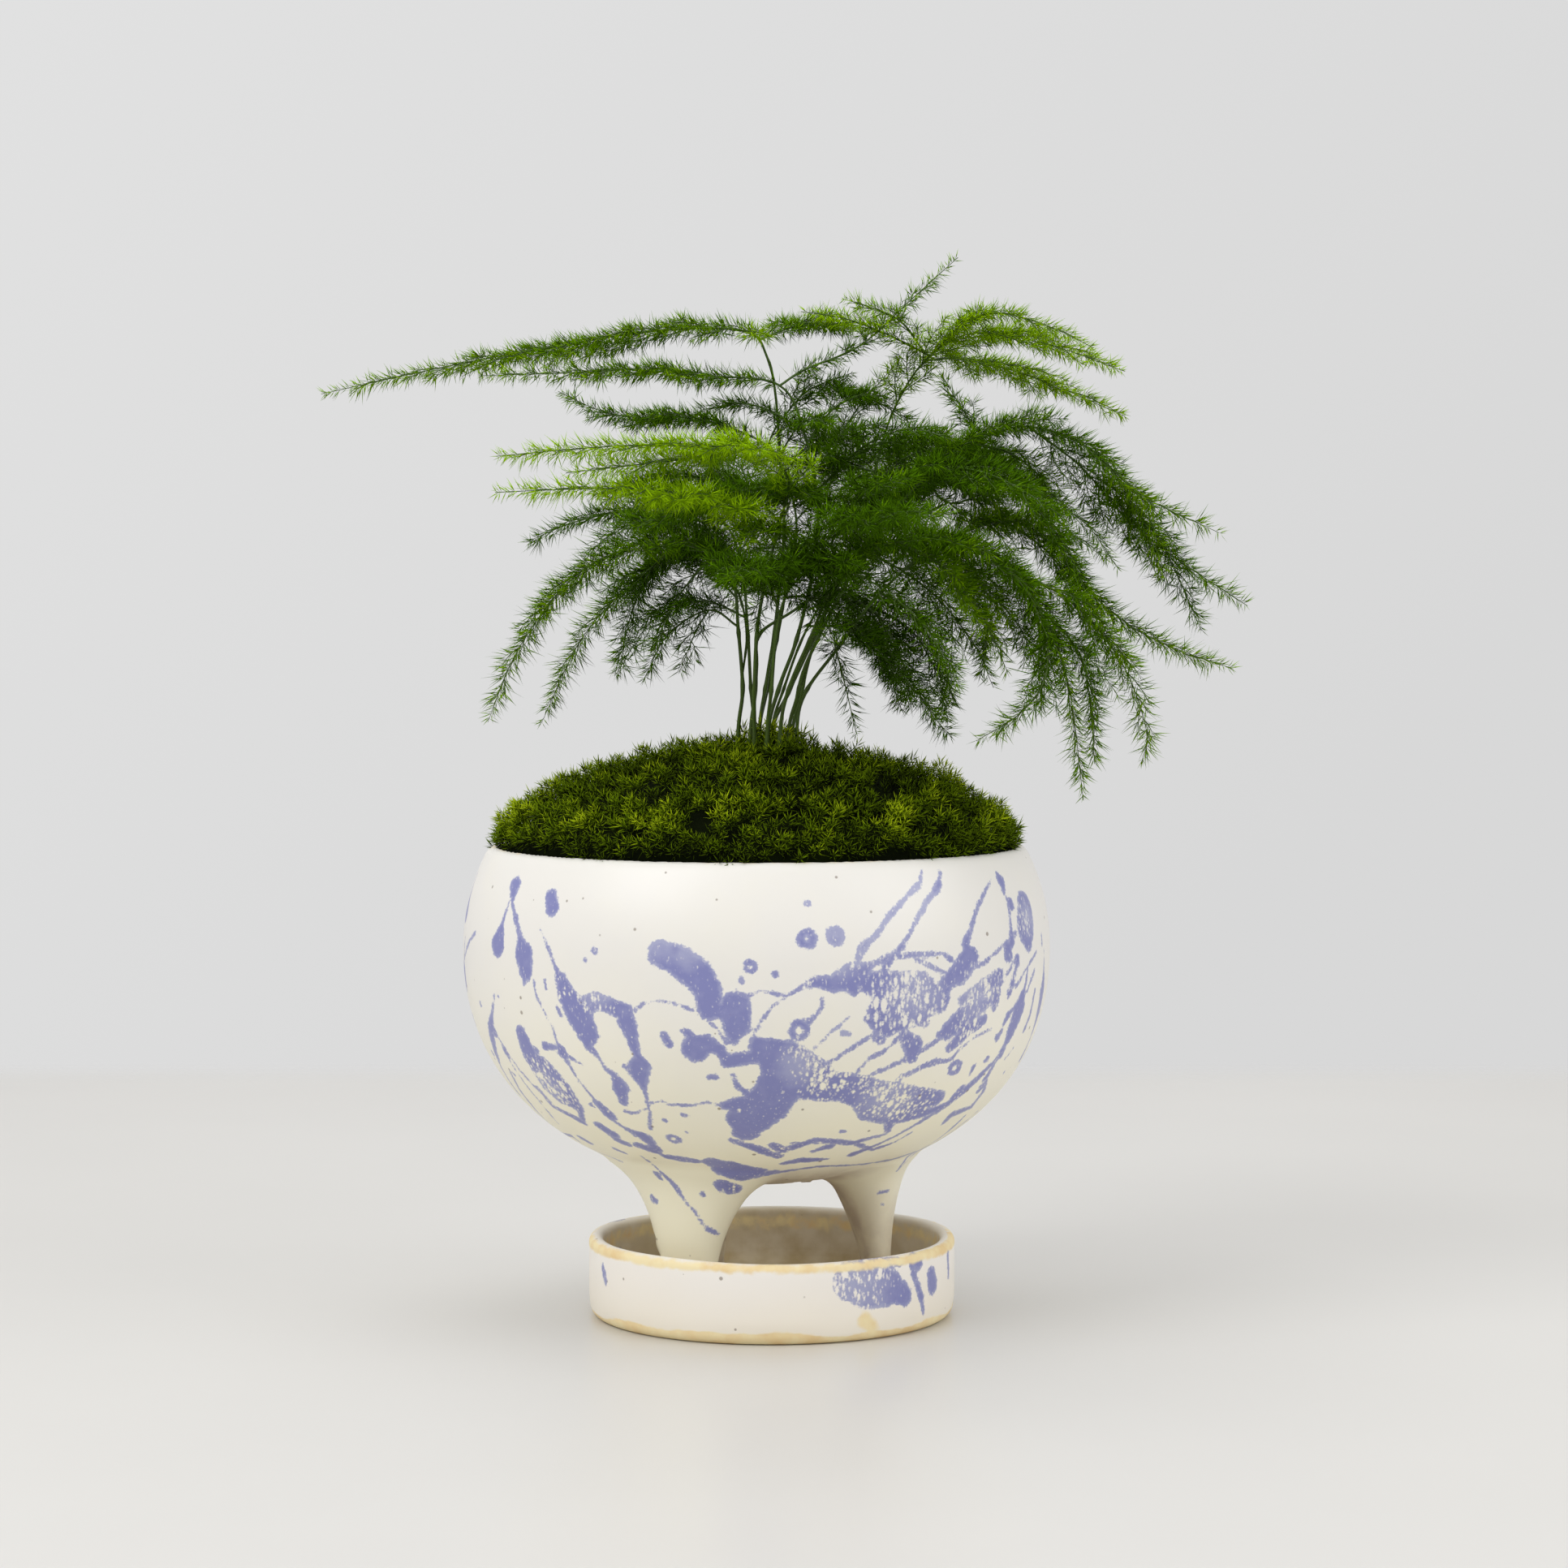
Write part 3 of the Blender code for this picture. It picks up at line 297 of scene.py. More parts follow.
# Splashes of the second glaze on the front of the pot. Each is a run of (x from the pot's axis,
# height above its feet, half width), flung roughly from the upper right to the lower left. Their
# places and widths were read from the photograph, mark by mark.
SPLASHES = (
    ((-55.5, 101, 2.2), (-56, 97, 0.5), (-55, 94, 1.0), (-54, 90, 0.8), (-53, 86, 3.2), (-52.5, 82, 2.4),
     (-53, 79, 0.5)),
    ((-46.5, 99.5, 1.7), (-46, 97, 2.2)),
    ((-49, 92, 0.2), (-47, 88, 0.3), (-45, 83, 0.6), (-44, 81, 1.8), (-42.5, 77, 2.8), (-39.5, 73, 4.0),
     (-38, 69, 3.2), (-38, 66, 1.2), (-35.5, 64, 0.6), (-34, 61, 0.6), (-32, 59.5, 1.0), (-30.5, 56.5, 2.4),
     (-30, 53, 1.2)),
    ((-39, 75, 2.2), (-36, 76.5, 2.2), (-33, 76, 1.9), (-29.5, 74.5, 2.4), (-28.5, 71.5, 2.4),
     (-27.5, 68, 1.6),
     (-26.5, 64.5, 1.0), (-26, 62, 2.9), (-26, 59.5, 2.2), (-25, 56, 0.5), (-24, 51, 0.4), (-24, 46.5, 0.6)),
    ((-29.5, 62, 0.5), (-27, 60, 0.9)),
    ((-27, 75, 0.4), (-25, 76.5, 0.35), (-22, 77.5, 0.35), (-18, 77, 0.35), (-14, 75.5, 0.4)),
    ((-50.5, 80, 0.4), (-50, 77, 0.5), (-48, 73, 0.3), (-46, 69.5, 0.3), (-45, 66, 0.5), (-44, 64, 1.5),
     (-42.5, 61, 0.5), (-40, 57, 0.3), (-38, 54.5, 0.3), (-36, 52, 0.5), (-34.5, 51, 1.1), (-32, 47.5, 0.5),
     (-29, 45.5, 0.8), (-25.5, 44, 1.9), (-22.5, 40.5, 1.2)),
    ((-48, 65, 1.1), (-45.5, 65, 0.7)),
    ((-43, 63.5, 0.5), (-39.5, 61.5, 0.25)),
    ((-47.7, 80.5, 0.5), (-47.6, 78.5, 0.5)),
    ((-45, 74.5, 0.35), (-44, 72.5, 0.5)),
    ((-38.4, 86, 0.45), (-38.2, 85.6, 0.4)),
    ((-54, 67.5, 1.9), (-52.5, 63.5, 3.0), (-50, 59, 3.0), (-48, 55, 2.4), (-45, 52, 1.8)),
    ((-50.5, 54, 0.7), (-47, 49.5, 0.8), (-44.5, 48.5, 0.9), (-41, 47, 1.2), (-39.5, 46, 0.7)),
    ((-42, 53, 1.0), (-40.5, 49.5, 1.1), (-40, 47, 0.9)),
    ((-60, 65, 0.25), (-56.5, 58.5, 0.3), (-53.5, 54, 0.25), (-50, 49.5, 0.25), (-46.5, 44.5, 0.25)),
    ((-57.5, 56.5, 0.5), (-55.5, 52, 0.6), (-51.5, 46, 0.5), (-48.5, 42, 0.3), (-45.5, 40.5, 0.5),
     (-43.5, 41, 0.9), (-41.5, 39, 0.4)),
    ((-37.5, 51.5, 0.6), (-37, 51, 0.5)),
    ((-36, 46, 1.5), (-33, 44, 2.0)),
    ((-20.5, 69.5, 1.0), (-19, 67.5, 1.1)),
    ((-20.7, 49, 0.5), (-20.4, 48.8, 0.4)),
    ((-16.2, 50.5, 0.7), (-15.6, 50.3, 0.6)),
    ((-15.8, 46, 0.45), (-15.5, 45.8, 0.4)),
    ((-29.5, 50.5, 0.6), (-27.5, 50.3, 0.3), (-25, 51.5, 0.3)),
    ((-23.7, 53.2, 0.4), (-21.5, 53.8, 0.4), (-19, 53, 0.4), (-14.5, 53, 0.4), (-10.5, 54, 0.35),
     (-7, 53, 0.6)),
    ((-21, 88, 3.2), (-17, 86.5, 3.6), (-13, 83.5, 3.9), (-10.5, 80.5, 3.2), (-10.2, 76, 3.0),
     (-7.5, 75, 1.6)),
    ((-4.4, 76.5, 3.5), (-4.2, 72.5, 3.5), (-5, 69, 1.5)),
    ((-1.5, 79, 0.4), (1.5, 80, 0.4), (7, 78.7, 0.5), (10, 80.5, 0.6), (13, 81.8, 1.2), (17.5, 81.3, 2.2),
     (21.5, 83, 3.1), (24, 84, 2.1), (26, 85.4, 0.8), (29.6, 86.7, 0.9), (33.5, 87, 0.6), (38, 87, 0.5),
     (42, 87, 0.5), (44, 85.5, 0.8)),
    ((22, 80, 1.4), (20, 81, 1.2)),
    ((-3, 82.5, 0.9), (-2.8, 82.2, 0.8)),
    ((4.4, 83.7, 0.7), (4.6, 83.5, 0.6)),
    ((-13.2, 66.8, 3.6), (-10.5, 68, 2.2), (-7.5, 66.3, 1.3), (-6.3, 64, 1.8), (-3, 64.4, 1.8), (0, 65, 1.8),
     (2.1, 65.4, 2.2), (3.5, 62, 2.4)),
    ((-16, 70.8, 0.8), (-14, 69, 1.4)),
    ((-11.5, 73.8, 0.4), (-8.5, 71.5, 0.4), (-6.5, 68, 0.7)),
    ((-10.2, 60, 0.7), (-9, 60, 0.8)),
    ((-5, 60.6, 0.6), (-4.2, 58.3, 0.8), (-1.5, 55.7, 1.1)),
    ((6.0, 60.5, 5.0), (4.8, 56.6, 5.4), (2.0, 53, 5.6), (-1.0, 50, 5.7), (-2.2, 46.5, 3.4)),
    ((-6.5, 53, 1.4), (-3, 54, 2.0)),
    ((9.7, 57.3, 2.5), (14.5, 55.7, 2.1), (19, 55.6, 2.2), (23, 54.4, 2.4), (26.3, 50.6, 3.2), (31, 49, 3.0),
     (35.8, 49, 2.3), (40.5, 49.5, 1.5), (43.5, 50.5, 0.9)),
    ((30.5, 47, 1.6), (30.3, 45, 0.8)),
    ((12, 73, 0.8), (14.7, 75.7, 0.5), (15, 78.5, 0.5)),
    ((7.5, 68.5, 0.9), (7, 65.6, 0.4)),
    ((37.5, 106, 0.3), (37, 103, 0.8), (33.5, 99.5, 0.7), (30, 96, 0.6), (27, 92, 0.7), (24, 89.3, 1.2),
     (23, 87, 0.9)),
    ((41.8, 105, 0.3), (41.3, 102, 1.0), (38, 98, 0.7), (35.5, 93.5, 0.6), (33, 89.5, 0.6), (31, 87, 0.9),
     (29, 84.7, 1.0), (28, 81, 0.9)),
    ((54, 102.5, 0.2), (52, 99.5, 0.5), (50, 95.5, 0.7), (48.6, 91.5, 0.8), (47.4, 88.5, 1.3),
     (48.6, 85.5, 3.0),
     (46.3, 82.5, 3.1), (43.5, 81, 2.0), (42, 78.5, 2.2), (38.7, 75, 2.8), (34.5, 73, 2.8), (29.3, 71, 2.2),
     (25, 73, 1.2)),
    ((55.3, 104, 0.4), (56.4, 102, 1.4), (57, 99.5, 0.8)),
    ((62.4, 95, 4.2), (62.6, 91, 4.8), (63, 87.5, 2.6)),
    ((57.8, 86.6, 1.6), (58, 85, 1.9)),
    ((60, 82.5, 0.7), (59, 78.5, 1.2), (58, 75.5, 0.9)),
    ((55.2, 80, 1.2), (54.8, 76.5, 2.0), (54.5, 73.5, 1.3)),
    ((65.3, 84.5, 0.4), (62.4, 81, 0.5), (60, 77.5, 0.5)),
    ((64.8, 80.5, 0.4), (63, 76, 0.4), (60.5, 73.5, 0.5), (58, 71, 1.0), (57, 69, 0.6)),
    ((54.4, 75, 0.8), (50.6, 74, 2.2), (46.8, 71.5, 3.2), (43.5, 69, 2.4), (41.5, 68.5, 1.0)),
    ((56.5, 67.5, 0.7), (55.5, 66, 1.2)),
    ((54, 68.5, 0.3), (50, 67, 0.3), (46.3, 64.5, 0.4), (44.4, 62, 0.6), (40.6, 62, 1.0), (36.8, 60.7, 0.7),
     (33, 59, 0.8), (31, 57, 0.8), (30, 54.7, 0.6)),
    ((33.5, 69, 1.6), (35.4, 66.3, 2.5), (35.4, 63.5, 1.6)),
    ((27, 68.6, 0.9), (28.3, 68, 0.9)),
    ((19.8, 70, 0.8), (20.6, 69.8, 0.7)),
    ((32, 68.3, 0.6), (29, 65.6, 0.5), (25, 63.7, 0.5), (23, 61.2, 0.6), (22, 58.3, 0.6)),
    ((13, 66.5, 0.3), (16.4, 70, 0.3), (21, 73.7, 0.3)),
    ((-1.2, 68.5, 0.3), (1.2, 73, 0.35), (4, 76.6, 0.35), (9, 80, 0.3)),
    ((47.3, 54.5, 1.0), (45.3, 52, 1.2)),
    ((53.4, 55.5, 0.4), (52.5, 52, 0.9), (50, 48.5, 1.0), (45.3, 47.5, 1.3), (43.5, 45.5, 0.8)),
    ((50, 59.5, 0.8), (49, 57.5, 0.4)),
    ((53.2, 61, 0.9), (52.8, 60.6, 0.7)),
    ((59.8, 62.5, 0.3), (57.7, 60, 0.3)),
    ((66.7, 88.5, 0.5), (67, 86, 0.5)),
    ((65, 75.5, 0.5), (64, 70, 0.6), (62.4, 66, 0.5)),
    ((8, 43.5, 0.3), (14, 43, 0.3), (18.5, 43.5, 0.7), (22.7, 42.5, 0.7), (26.8, 40, 0.7), (31.6, 41.5, 0.5),
     (35.8, 44, 0.3)),
    ((13.2, 40.8, 0.8), (16.8, 42, 1.3)),
    ((6, 37.3, 0.9), (10.5, 38.3, 1.7), (16.5, 38.2, 0.5)),
    ((3.7, 43, 1.0), (6, 41.5, 1.7)),
    ((-5.6, 44.2, 0.9), (-4.6, 43.8, 1.0)),
    ((-33, 39.5, 1.0), (-30.7, 38.5, 0.8)),
    ((-20.5, 38.7, 1.3), (-17, 38.2, 1.8), (-14, 37.8, 1.3)),
    ((-10, 37.6, 2.6), (-6.6, 36.2, 4.0), (-3, 35, 3.6), (1, 35.2, 1.6)),
    ((1, 34.2, 0.7), (4.3, 34.9, 0.9)),
    ((0, 33.5, 0.6), (7.8, 35, 0.7), (14, 36, 0.6), (25, 35.4, 0.6), (31.6, 35.6, 0.8), (39, 37, 0.4)),
    ((-7.8, 31.2, 2.2), (-5, 30.2, 1.8)),
    ((-12.6, 29, 0.7), (-12.4, 28.6, 0.6)),
    ((-26.6, 38, 0.25), (-22.4, 34, 0.4), (-19.4, 31, 0.7), (-17, 27.5, 0.5), (-14, 24, 0.4),
     (-11.7, 20.4, 0.6),
     (-9, 19, 0.6)),
    ((-23.3, 33.3, 0.9), (-22.4, 32, 0.7)),
    ((-24.4, 26.5, 1.1), (-23.8, 26, 0.9)),
    ((28.9, 26.2, 0.4), (31.2, 26.3, 0.6)),
    ((29.8, 23, 0.4), (30, 22.8, 0.4)),
    ((19.7, 46, 0.8), (20.2, 46, 0.7)),
    ((25, 81.5, 2.6), (30, 80, 4.0), (36, 79, 4.6), (41, 76.5, 3.4)),
    ((27, 75, 2.4), (33, 73.5, 2.6), (38, 72, 1.6)),
    ((1, 67, 2.6), (7, 65, 4.0), (12, 61, 4.6), (16, 58, 3.6)),
    ((20, 58, 3.4), (27, 55, 4.2), (34, 53, 4.4), (41, 52.5, 2.8)),
    ((-50, 61, 2.4), (-47.5, 57.5, 4.6), (-44.5, 54, 4.2), (-41, 50.5, 2.0)),
    ((47, 76, 1.6), (52, 78.5, 2.2), (56, 81, 1.4)),
    ((44, 65, 1.4), (48, 69, 2.0), (52, 71, 1.4)),
    ((8, 56, 0.6), (16, 63, 0.5), (24, 68, 0.5), (30, 72, 0.6)),
    ((26, 60, 0.5), (36, 64, 0.7), (46, 70, 0.6), (54, 76, 0.6), (60, 84, 0.7)),
    ((36, 86, 0.6), (44, 82, 0.7), (52, 84, 0.5), (60, 90, 0.6)),
    ((-4, 43.5, 0.9), (1, 41.5, 1.7), (5, 39.5, 1.1)),
    ((8, 42, 1.3), (14, 44, 1.0), (22, 42.5, 0.9), (30, 44.5, 0.6)),
    ((-27, 41.5, 1.5), (-24, 40.5, 1.9), (-22, 39.4, 0.7)),
    ((-36, 52, 1.2), (-33, 49, 1.6)),
)

# Dots with a bare middle: (x, height, outer radius, inner radius)
RINGS = ((-36, 88, 1.0, 0.35), (-1.1, 85.3, 1.7, 0.45), (11.5, 91.5, 2.5, 0.3), (17.8, 92, 2.3, 0.0),
         (11.5, 99, 0.8, 0.2), (9.7, 71, 2.6, 0.7), (45.3, 60, 2.3, 0.6), (-18.7, 44, 1.9, 0.6))

# Frothy places, where bubbles have opened the second glaze into a lace: (x, height, radius, strength)
FROTH = ((-47, 55, 8, 1.0), (34, 78, 11, 1.0), (16, 62, 7, 1.0), (32, 55, 10, 0.9), (51, 78, 7, 0.9),
         (48, 68, 6, 0.8),
         (-43, 79, 4, 0.5), (-36, 76, 4, 0.45), (30, 77, 6, 1.0), (36, 77, 5, 0.9),
         (11, 80, 3, 0.6), (62, 92, 6, 0.6), (58, 78, 6, 0.9), (17, 60, 7, 1.0), (25, 58, 5, 0.8),
         (36, 52, 6, 0.8), (10, 66, 4, 0.7), (-37, 78, 6, 0.8), (40, 76, 4, 0.6), (6, 41.5, 3, 0.6),
         (-6, 30, 3, 0.5), (23, 86, 4, 0.5), (48, 51, 5, 0.7))

# Where the second glaze lies thin and pale: (x, height, radius)
THIN = ((36, 79, 7), (50, 77, 6), (30, 54, 7), (10, 63, 5), (-48, 55, 5), (-21, 90, 4), (-15, 88, 3.5),
        (17.8, 92, 3.5), (11.5, 99, 3), (27, 93, 6), (35, 100, 6), (22, 88, 4),
        (19, 85, 3), (-36, 79, 4), (63, 93, 4), (20, 70, 3))

# Splashes on the saucer's wall: (azimuth in degrees from +X, height, half width)
SAUCER_SPLASHES = (
    ((-65, 14.5, 4.6), (-59, 13.5, 6.0), (-52, 12, 4.6), (-47, 10.5, 3.0), (-45, 9.5, 2.6)),
    ((-54, 18.5, 2.4), (-47, 17.5, 1.2)),
    ((-43, 19.5, 0.7), (-41, 14.5, 0.9), (-37, 8.5, 1.3), (-35.5, 4.5, 0.6)),
    ((-39.5, 19.0, 1.9), (-38.5, 16.6, 2.0)),
    ((-31, 13.2, 1.9), (-30, 10.4, 2.4)),
    ((-17, 17.5, 0.8), (-16, 11.0, 0.9)),
    ((150, 19.0, 1.8), (158, 19.2, 1.6)),
    ((100, 9.0, 1.9), (108, 11.0, 1.4), (118, 10.0, 0.6)),
    ((60, 18.0, 0.6), (66, 12.0, 0.8), (69, 7.0, 1.3)),
    ((205, 14.0, 1.0), (207, 11.0, 1.2)),
    ((20, 12.0, 1.5), (25, 12.5, 1.2)),
)
SAUCER_FROTH = ((-67, 14.5, 8.0, 0.95), (-57, 17.5, 6.0, 0.85), (-61, 9.0, 5.0, 0.8), (154, 18.5, 4.0, 0.5),
                (104, 10.0, 5.0, 0.7))


def linear(hex_colour):
    """An sRGB hex colour as linear red, green and blue with an alpha of 1."""
    shares = [int(hex_colour[k:k + 2], 16) / 255 for k in (1, 3, 5)]
    return (*(s / 12.92 if s <= 0.04045 else ((s + 0.055) / 1.055) ** 2.4 for s in shares), 1.0)


def scale_of(size):
    """A texture's Scale for features of a size in millimetres, on Object coordinates in metres."""
    return 1 / (size * MM)


def add(tree, kind, inputs=None, **settings):
    """Adds a node with its settings; an input is a value, or the socket that it is linked from."""
    node = tree.nodes.new(kind)
    for name, value in settings.items():
        setattr(node, name, value)
    for name, value in (inputs or {}).items():
        if isinstance(value, bpy.types.NodeSocket):
            tree.links.new(value, node.inputs[name])
        else:
            node.inputs[name].default_value = value
    return node


def new_finish(name):
    """A material with its shader, and Object coordinates for its patterns."""
    finish = bpy.data.materials.new(name)
    finish.use_nodes = True
    tree = finish.node_tree
    shader = tree.nodes["Principled BSDF"]
    place = add(tree, "ShaderNodeTexCoord").outputs["Object"]
    return finish, tree, shader, place


def select_only(*objects):
    """Deselects everything else, and makes the last of these objects the active one."""
    bpy.ops.object.select_all(action="DESELECT")
    for obj in objects:
        obj.select_set(True)
    bpy.context.view_layer.objects.active = objects[-1]


def choose(obj, kind, test):
    """In edit mode, selects the edges or faces whose middle passes a test, and no others."""
    bpy.ops.mesh.select_all(action="DESELECT")
    bpy.ops.mesh.select_mode(type={"edges": "EDGE", "faces": "FACE"}[kind])
    bm = bmesh.from_edit_mesh(obj.data)
    for item in getattr(bm, kind):
        middle = sum((v.co for v in item.verts), Vector()) / len(item.verts) / MM
        if test(middle):
            item.select_set(True)
    bm.select_flush_mode()
    bmesh.update_edit_mesh(obj.data)


def choose_marked(obj, marks):
    """In edit mode, selects the faces whose every vertex is marked, and no others."""
    bpy.ops.mesh.select_all(action="DESELECT")
    bpy.ops.mesh.select_mode(type="FACE")
    bm = bmesh.from_edit_mesh(obj.data)
    for face in bm.faces:
        if all(marks[v.index] for v in face.verts):
            face.select_set(True)
    bmesh.update_edit_mesh(obj.data)


def points_of(mesh):
    """A mesh's points as an array, in millimetres."""
    flat = np.empty(len(mesh.vertices) * 3, np.float32)
    mesh.vertices.foreach_get("co", flat)
    return flat.reshape(-1, 3).astype(np.float64) / MM


def put_points(mesh, points):
    """Gives a mesh's points new places, in millimetres."""
    mesh.vertices.foreach_set("co", (points * MM).astype(np.float32).ravel())
    mesh.update()


def store(mesh, name, values):
    """Keeps one number for each point, which a material reads as an attribute."""
    mesh.attributes.new(name, "FLOAT", "POINT").data.foreach_set("value", np.asarray(values, np.float32))


def settle(obj, finish, body_slot, *nodes):
    """Gives a finished piece its material, hangs it under the root body, and hides the model's pieces that
    it stands for.
    """
    obj.data.materials.clear()
    obj.data.materials.append(finish)
    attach(obj, "root")
    if nodes:
        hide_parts(*nodes)


def copies(name, points, faces, turns, places, tones):
    """One mesh of many copies of a small shape, each turned and sized by a matrix and put at a place."""
    many = len(places)
    placed = np.einsum("nij,kj->nki", turns, points) + places[:, None, :]
    mesh = bpy.data.meshes.new(name)
    size = len(faces[0])
    corners = (faces[None] + (np.arange(many) * len(points))[:, None, None]).reshape(-1)
    mesh.vertices.add(many * len(points))
    mesh.loops.add(len(corners))
    mesh.polygons.add(many * len(faces))
    mesh.vertices.foreach_set("co", (placed * MM).astype(np.float32).ravel())
    mesh.loops.foreach_set("vertex_index", corners.astype(np.int32))
    mesh.polygons.foreach_set("loop_start", np.arange(0, len(corners), size, dtype=np.int32))
    mesh.update(calc_edges=True)
    store(mesh, "tone", tones.ravel())
    obj = bpy.data.objects.new(name, mesh)
    bpy.context.scene.collection.objects.link(obj)
    return obj


def needle_shape():
    """One slim needle from a cone: 1 long along +X, and 1 in radius where it is widest, as arrays."""
    bpy.ops.object.select_all(action="DESELECT")
    bpy.ops.mesh.primitive_cone_add(vertices=3, radius1=1, radius2=0, depth=1)
    cone = bpy.context.object
    base = [(0, 0, 0), (0.4, 1, 0), (0.35, -0.4, 0.9)]
    for vertex in cone.data.vertices:
        vertex.co = (1, 0, 0) if vertex.co.z > 0 else base.pop()
    bpy.ops.object.mode_set(mode="EDIT")
    bpy.ops.mesh.select_all(action="SELECT")
    bpy.ops.mesh.normals_make_consistent(inside=False)
    bpy.ops.object.mode_set(mode="OBJECT")
    points = points_of(cone.data) * MM
    faces = np.array([tuple(face.vertices) for face in cone.data.polygons])
    bpy.data.objects.remove(cone)
    return points, faces


def axes_to(directions, draw):
    """For each direction, a matrix whose first column lies along it, turned at random about it."""
    ahead = directions / np.linalg.norm(directions, axis=1, keepdims=True)
    helper = np.where(np.abs(ahead[:, 2:3]) < 0.9, [[0.0, 0.0, 1.0]], [[1.0, 0.0, 0.0]])
    side = np.cross(ahead, helper)
    side /= np.linalg.norm(side, axis=1, keepdims=True)
    rise = np.cross(ahead, side)
    turn = draw.uniform(0, math.tau, len(ahead))[:, None]
    first = side * np.cos(turn) + rise * np.sin(turn)
    return np.stack([ahead, first, np.cross(ahead, first)], axis=2)


def melt(a, b, fillet):
    """The union of two shapes given by their distances, with a fillet where they meet."""
    share = np.clip(0.5 + 0.5 * (b - a) / fillet, 0, 1)
    return b + (a - b) * share - fillet * share * (1 - share)


def cut(a, b, edge):
    """What lies in both of two shapes, its edge rounded."""
    return -melt(-a, -b, edge)


def bowl_distance(r, z, wall, floor):
    """Distance from a bowl's round skin; wall and floor move the skin inwards."""
    height = z - BOWL_WIDEST_Z
    across = r / (BOWL_RADIUS - wall)
    low = across ** BOWL_FULLNESS + (np.abs(height) / (BOWL_DEPTH - floor)) ** BOWL_FULLNESS
    high = across ** 2 + (height / BOWL_DOME) ** 2
    fill = np.where(height < 0, low ** (1 / BOWL_FULLNESS), np.sqrt(high))
    return np.hypot(r, height) * (1 - 1 / np.maximum(fill, 1e-6))


def leg_distance(x, y, z):
    """Distance from the leg that stands along +X, which flares as it meets the bowl."""
    rise = np.clip(z / LEG_FLARE_Z, 0, 1.12)
    inner = 26.0 - 10.2 * rise ** 1.7
    outer = 32.0 + 3.8 * rise ** 3
    half = 8.0 + 9.5 * rise ** 3.2
    off = x - (inner + outer) / 2
    fill = np.hypot(off / ((outer - inner) / 2), y / half)
    return np.hypot(off, y) * (1 - 1 / np.maximum(fill, 1e-6))


def pot_distance(points):
    """Distance of points in the pot's frame from its clay: negative inside it."""
    x, y, z = points.T
    around = np.arctan2(y, x)
    wobble = 0.22 * np.sin(2 * around + 1) + 0.14 * np.sin(3 * around + z / 17)
    r = np.hypot(x, y)
    body = bowl_distance(r - wobble, z, 0, 0)
    for angle in LEG_ANGLES:
        c, s = math.cos(math.radians(angle)), math.sin(math.radians(angle))
        leg = leg_distance(x * c + y * s, y * c - x * s, z)
        body = melt(body, cut(leg, z - 40, 2), LEG_BLEND)
    body = cut(body, -z, 2.0)
    ridge = RIDGE_WIDTH * (1 + 0.22 * np.sin(3 * around) + 0.18 * np.sin(11 * around + 1))
    body = melt(body, np.hypot(r - RIDGE_RADIUS - 0.6 * np.sin(5 * around), z - 28.2) - ridge, 1.0)
    body = cut(body, DRAIN_RADIUS + 0.3 * np.sin(5 * around) - r, 0.8)
    lip = np.clip((z - BOWL_TOP_Z + LIP_DEPTH) / LIP_DEPTH, 0, 1)
    hollow = bowl_distance(r - wobble, z, BOWL_WALL + (LIP_WALL - BOWL_WALL) * lip, BOWL_FLOOR)
    body = cut(body, -hollow, 1.0)
    return cut(body, z - BOWL_TOP_Z, 2.2)


def onto_pot(points, steps=4):
    """Moves points near the pot's skin exactly onto it, along the skin's slope."""
    reach = 0.05
    for _ in range(steps):
        gap = pot_distance(points)
        slope = np.empty_like(points)
        for k in range(3):
            move = np.zeros(3)
            move[k] = reach
            slope[:, k] = (pot_distance(points + move) - pot_distance(points - move)) / (2 * reach)
        length = np.maximum(np.linalg.norm(slope, axis=1), 0.3)
        points = points - slope / length[:, None] * np.clip(gap / length, -1.5, 1.5)[:, None]
    return points


def on_front(x, z, turn):
    """Where the pot's skin is first met from the front at x and z, after turning the pot's view."""
    c, s = math.cos(math.radians(turn)), math.sin(math.radians(turn))
    depths = np.arange(-78, 0, 0.25)
    line = np.stack([np.full_like(depths, x), depths, np.full_like(depths, z)], axis=1)
    line = line @ np.array([[c, s, 0], [-s, c, 0], [0, 0, 1]])
    inside = pot_distance(line) < 0
    return line[np.argmax(inside)] if inside.any() else None


def back_splashes(draw):
    """More splashes of the same kind round the pot's sides and back, by rule: (turn, run) pairs."""
    found = []
    for turn in BACK_TURNS:
        for _ in range(5):
            x, z = draw.uniform(-30, 30), draw.uniform(45, 98)
            lean = draw.uniform(-1.1, 0.2)
            wide = draw.uniform(1.4, 3.4)
            run = [(x - lean * 9, z + 10, 0.3), (x - lean * 5, z + 5, 0.6), (x, z, wide)]
            if draw.random() < 0.6:
                run += [(x + lean * 4, z - 5, wide * 0.8), (x + lean * 7, z - 9, 0.6),
                        (x + lean * 9, z - 13, 0.5)]
                run += [(x + lean * 10, z - 16, draw.uniform(0.8, 1.9))]
            found.append((turn, run))
        for _ in range(4):
            x, z, lean = draw.uniform(-34, 34), draw.uniform(42, 100), draw.uniform(-1.3, 0.9)
            run = [(x + lean * k * 5 + draw.uniform(-1, 1), z - k * 3.6,
                    draw.uniform(0.25, 0.6)) for k in range(5)]
            found.append((turn, run))
        for _ in range(12):
            x, z, size = draw.uniform(-36, 36), draw.uniform(38, 100), draw.uniform(0.35, 1.4)
            found.append((turn, [(x, z, size), (x + 0.3, z - size * 0.8, size * 0.9)]))
    return found


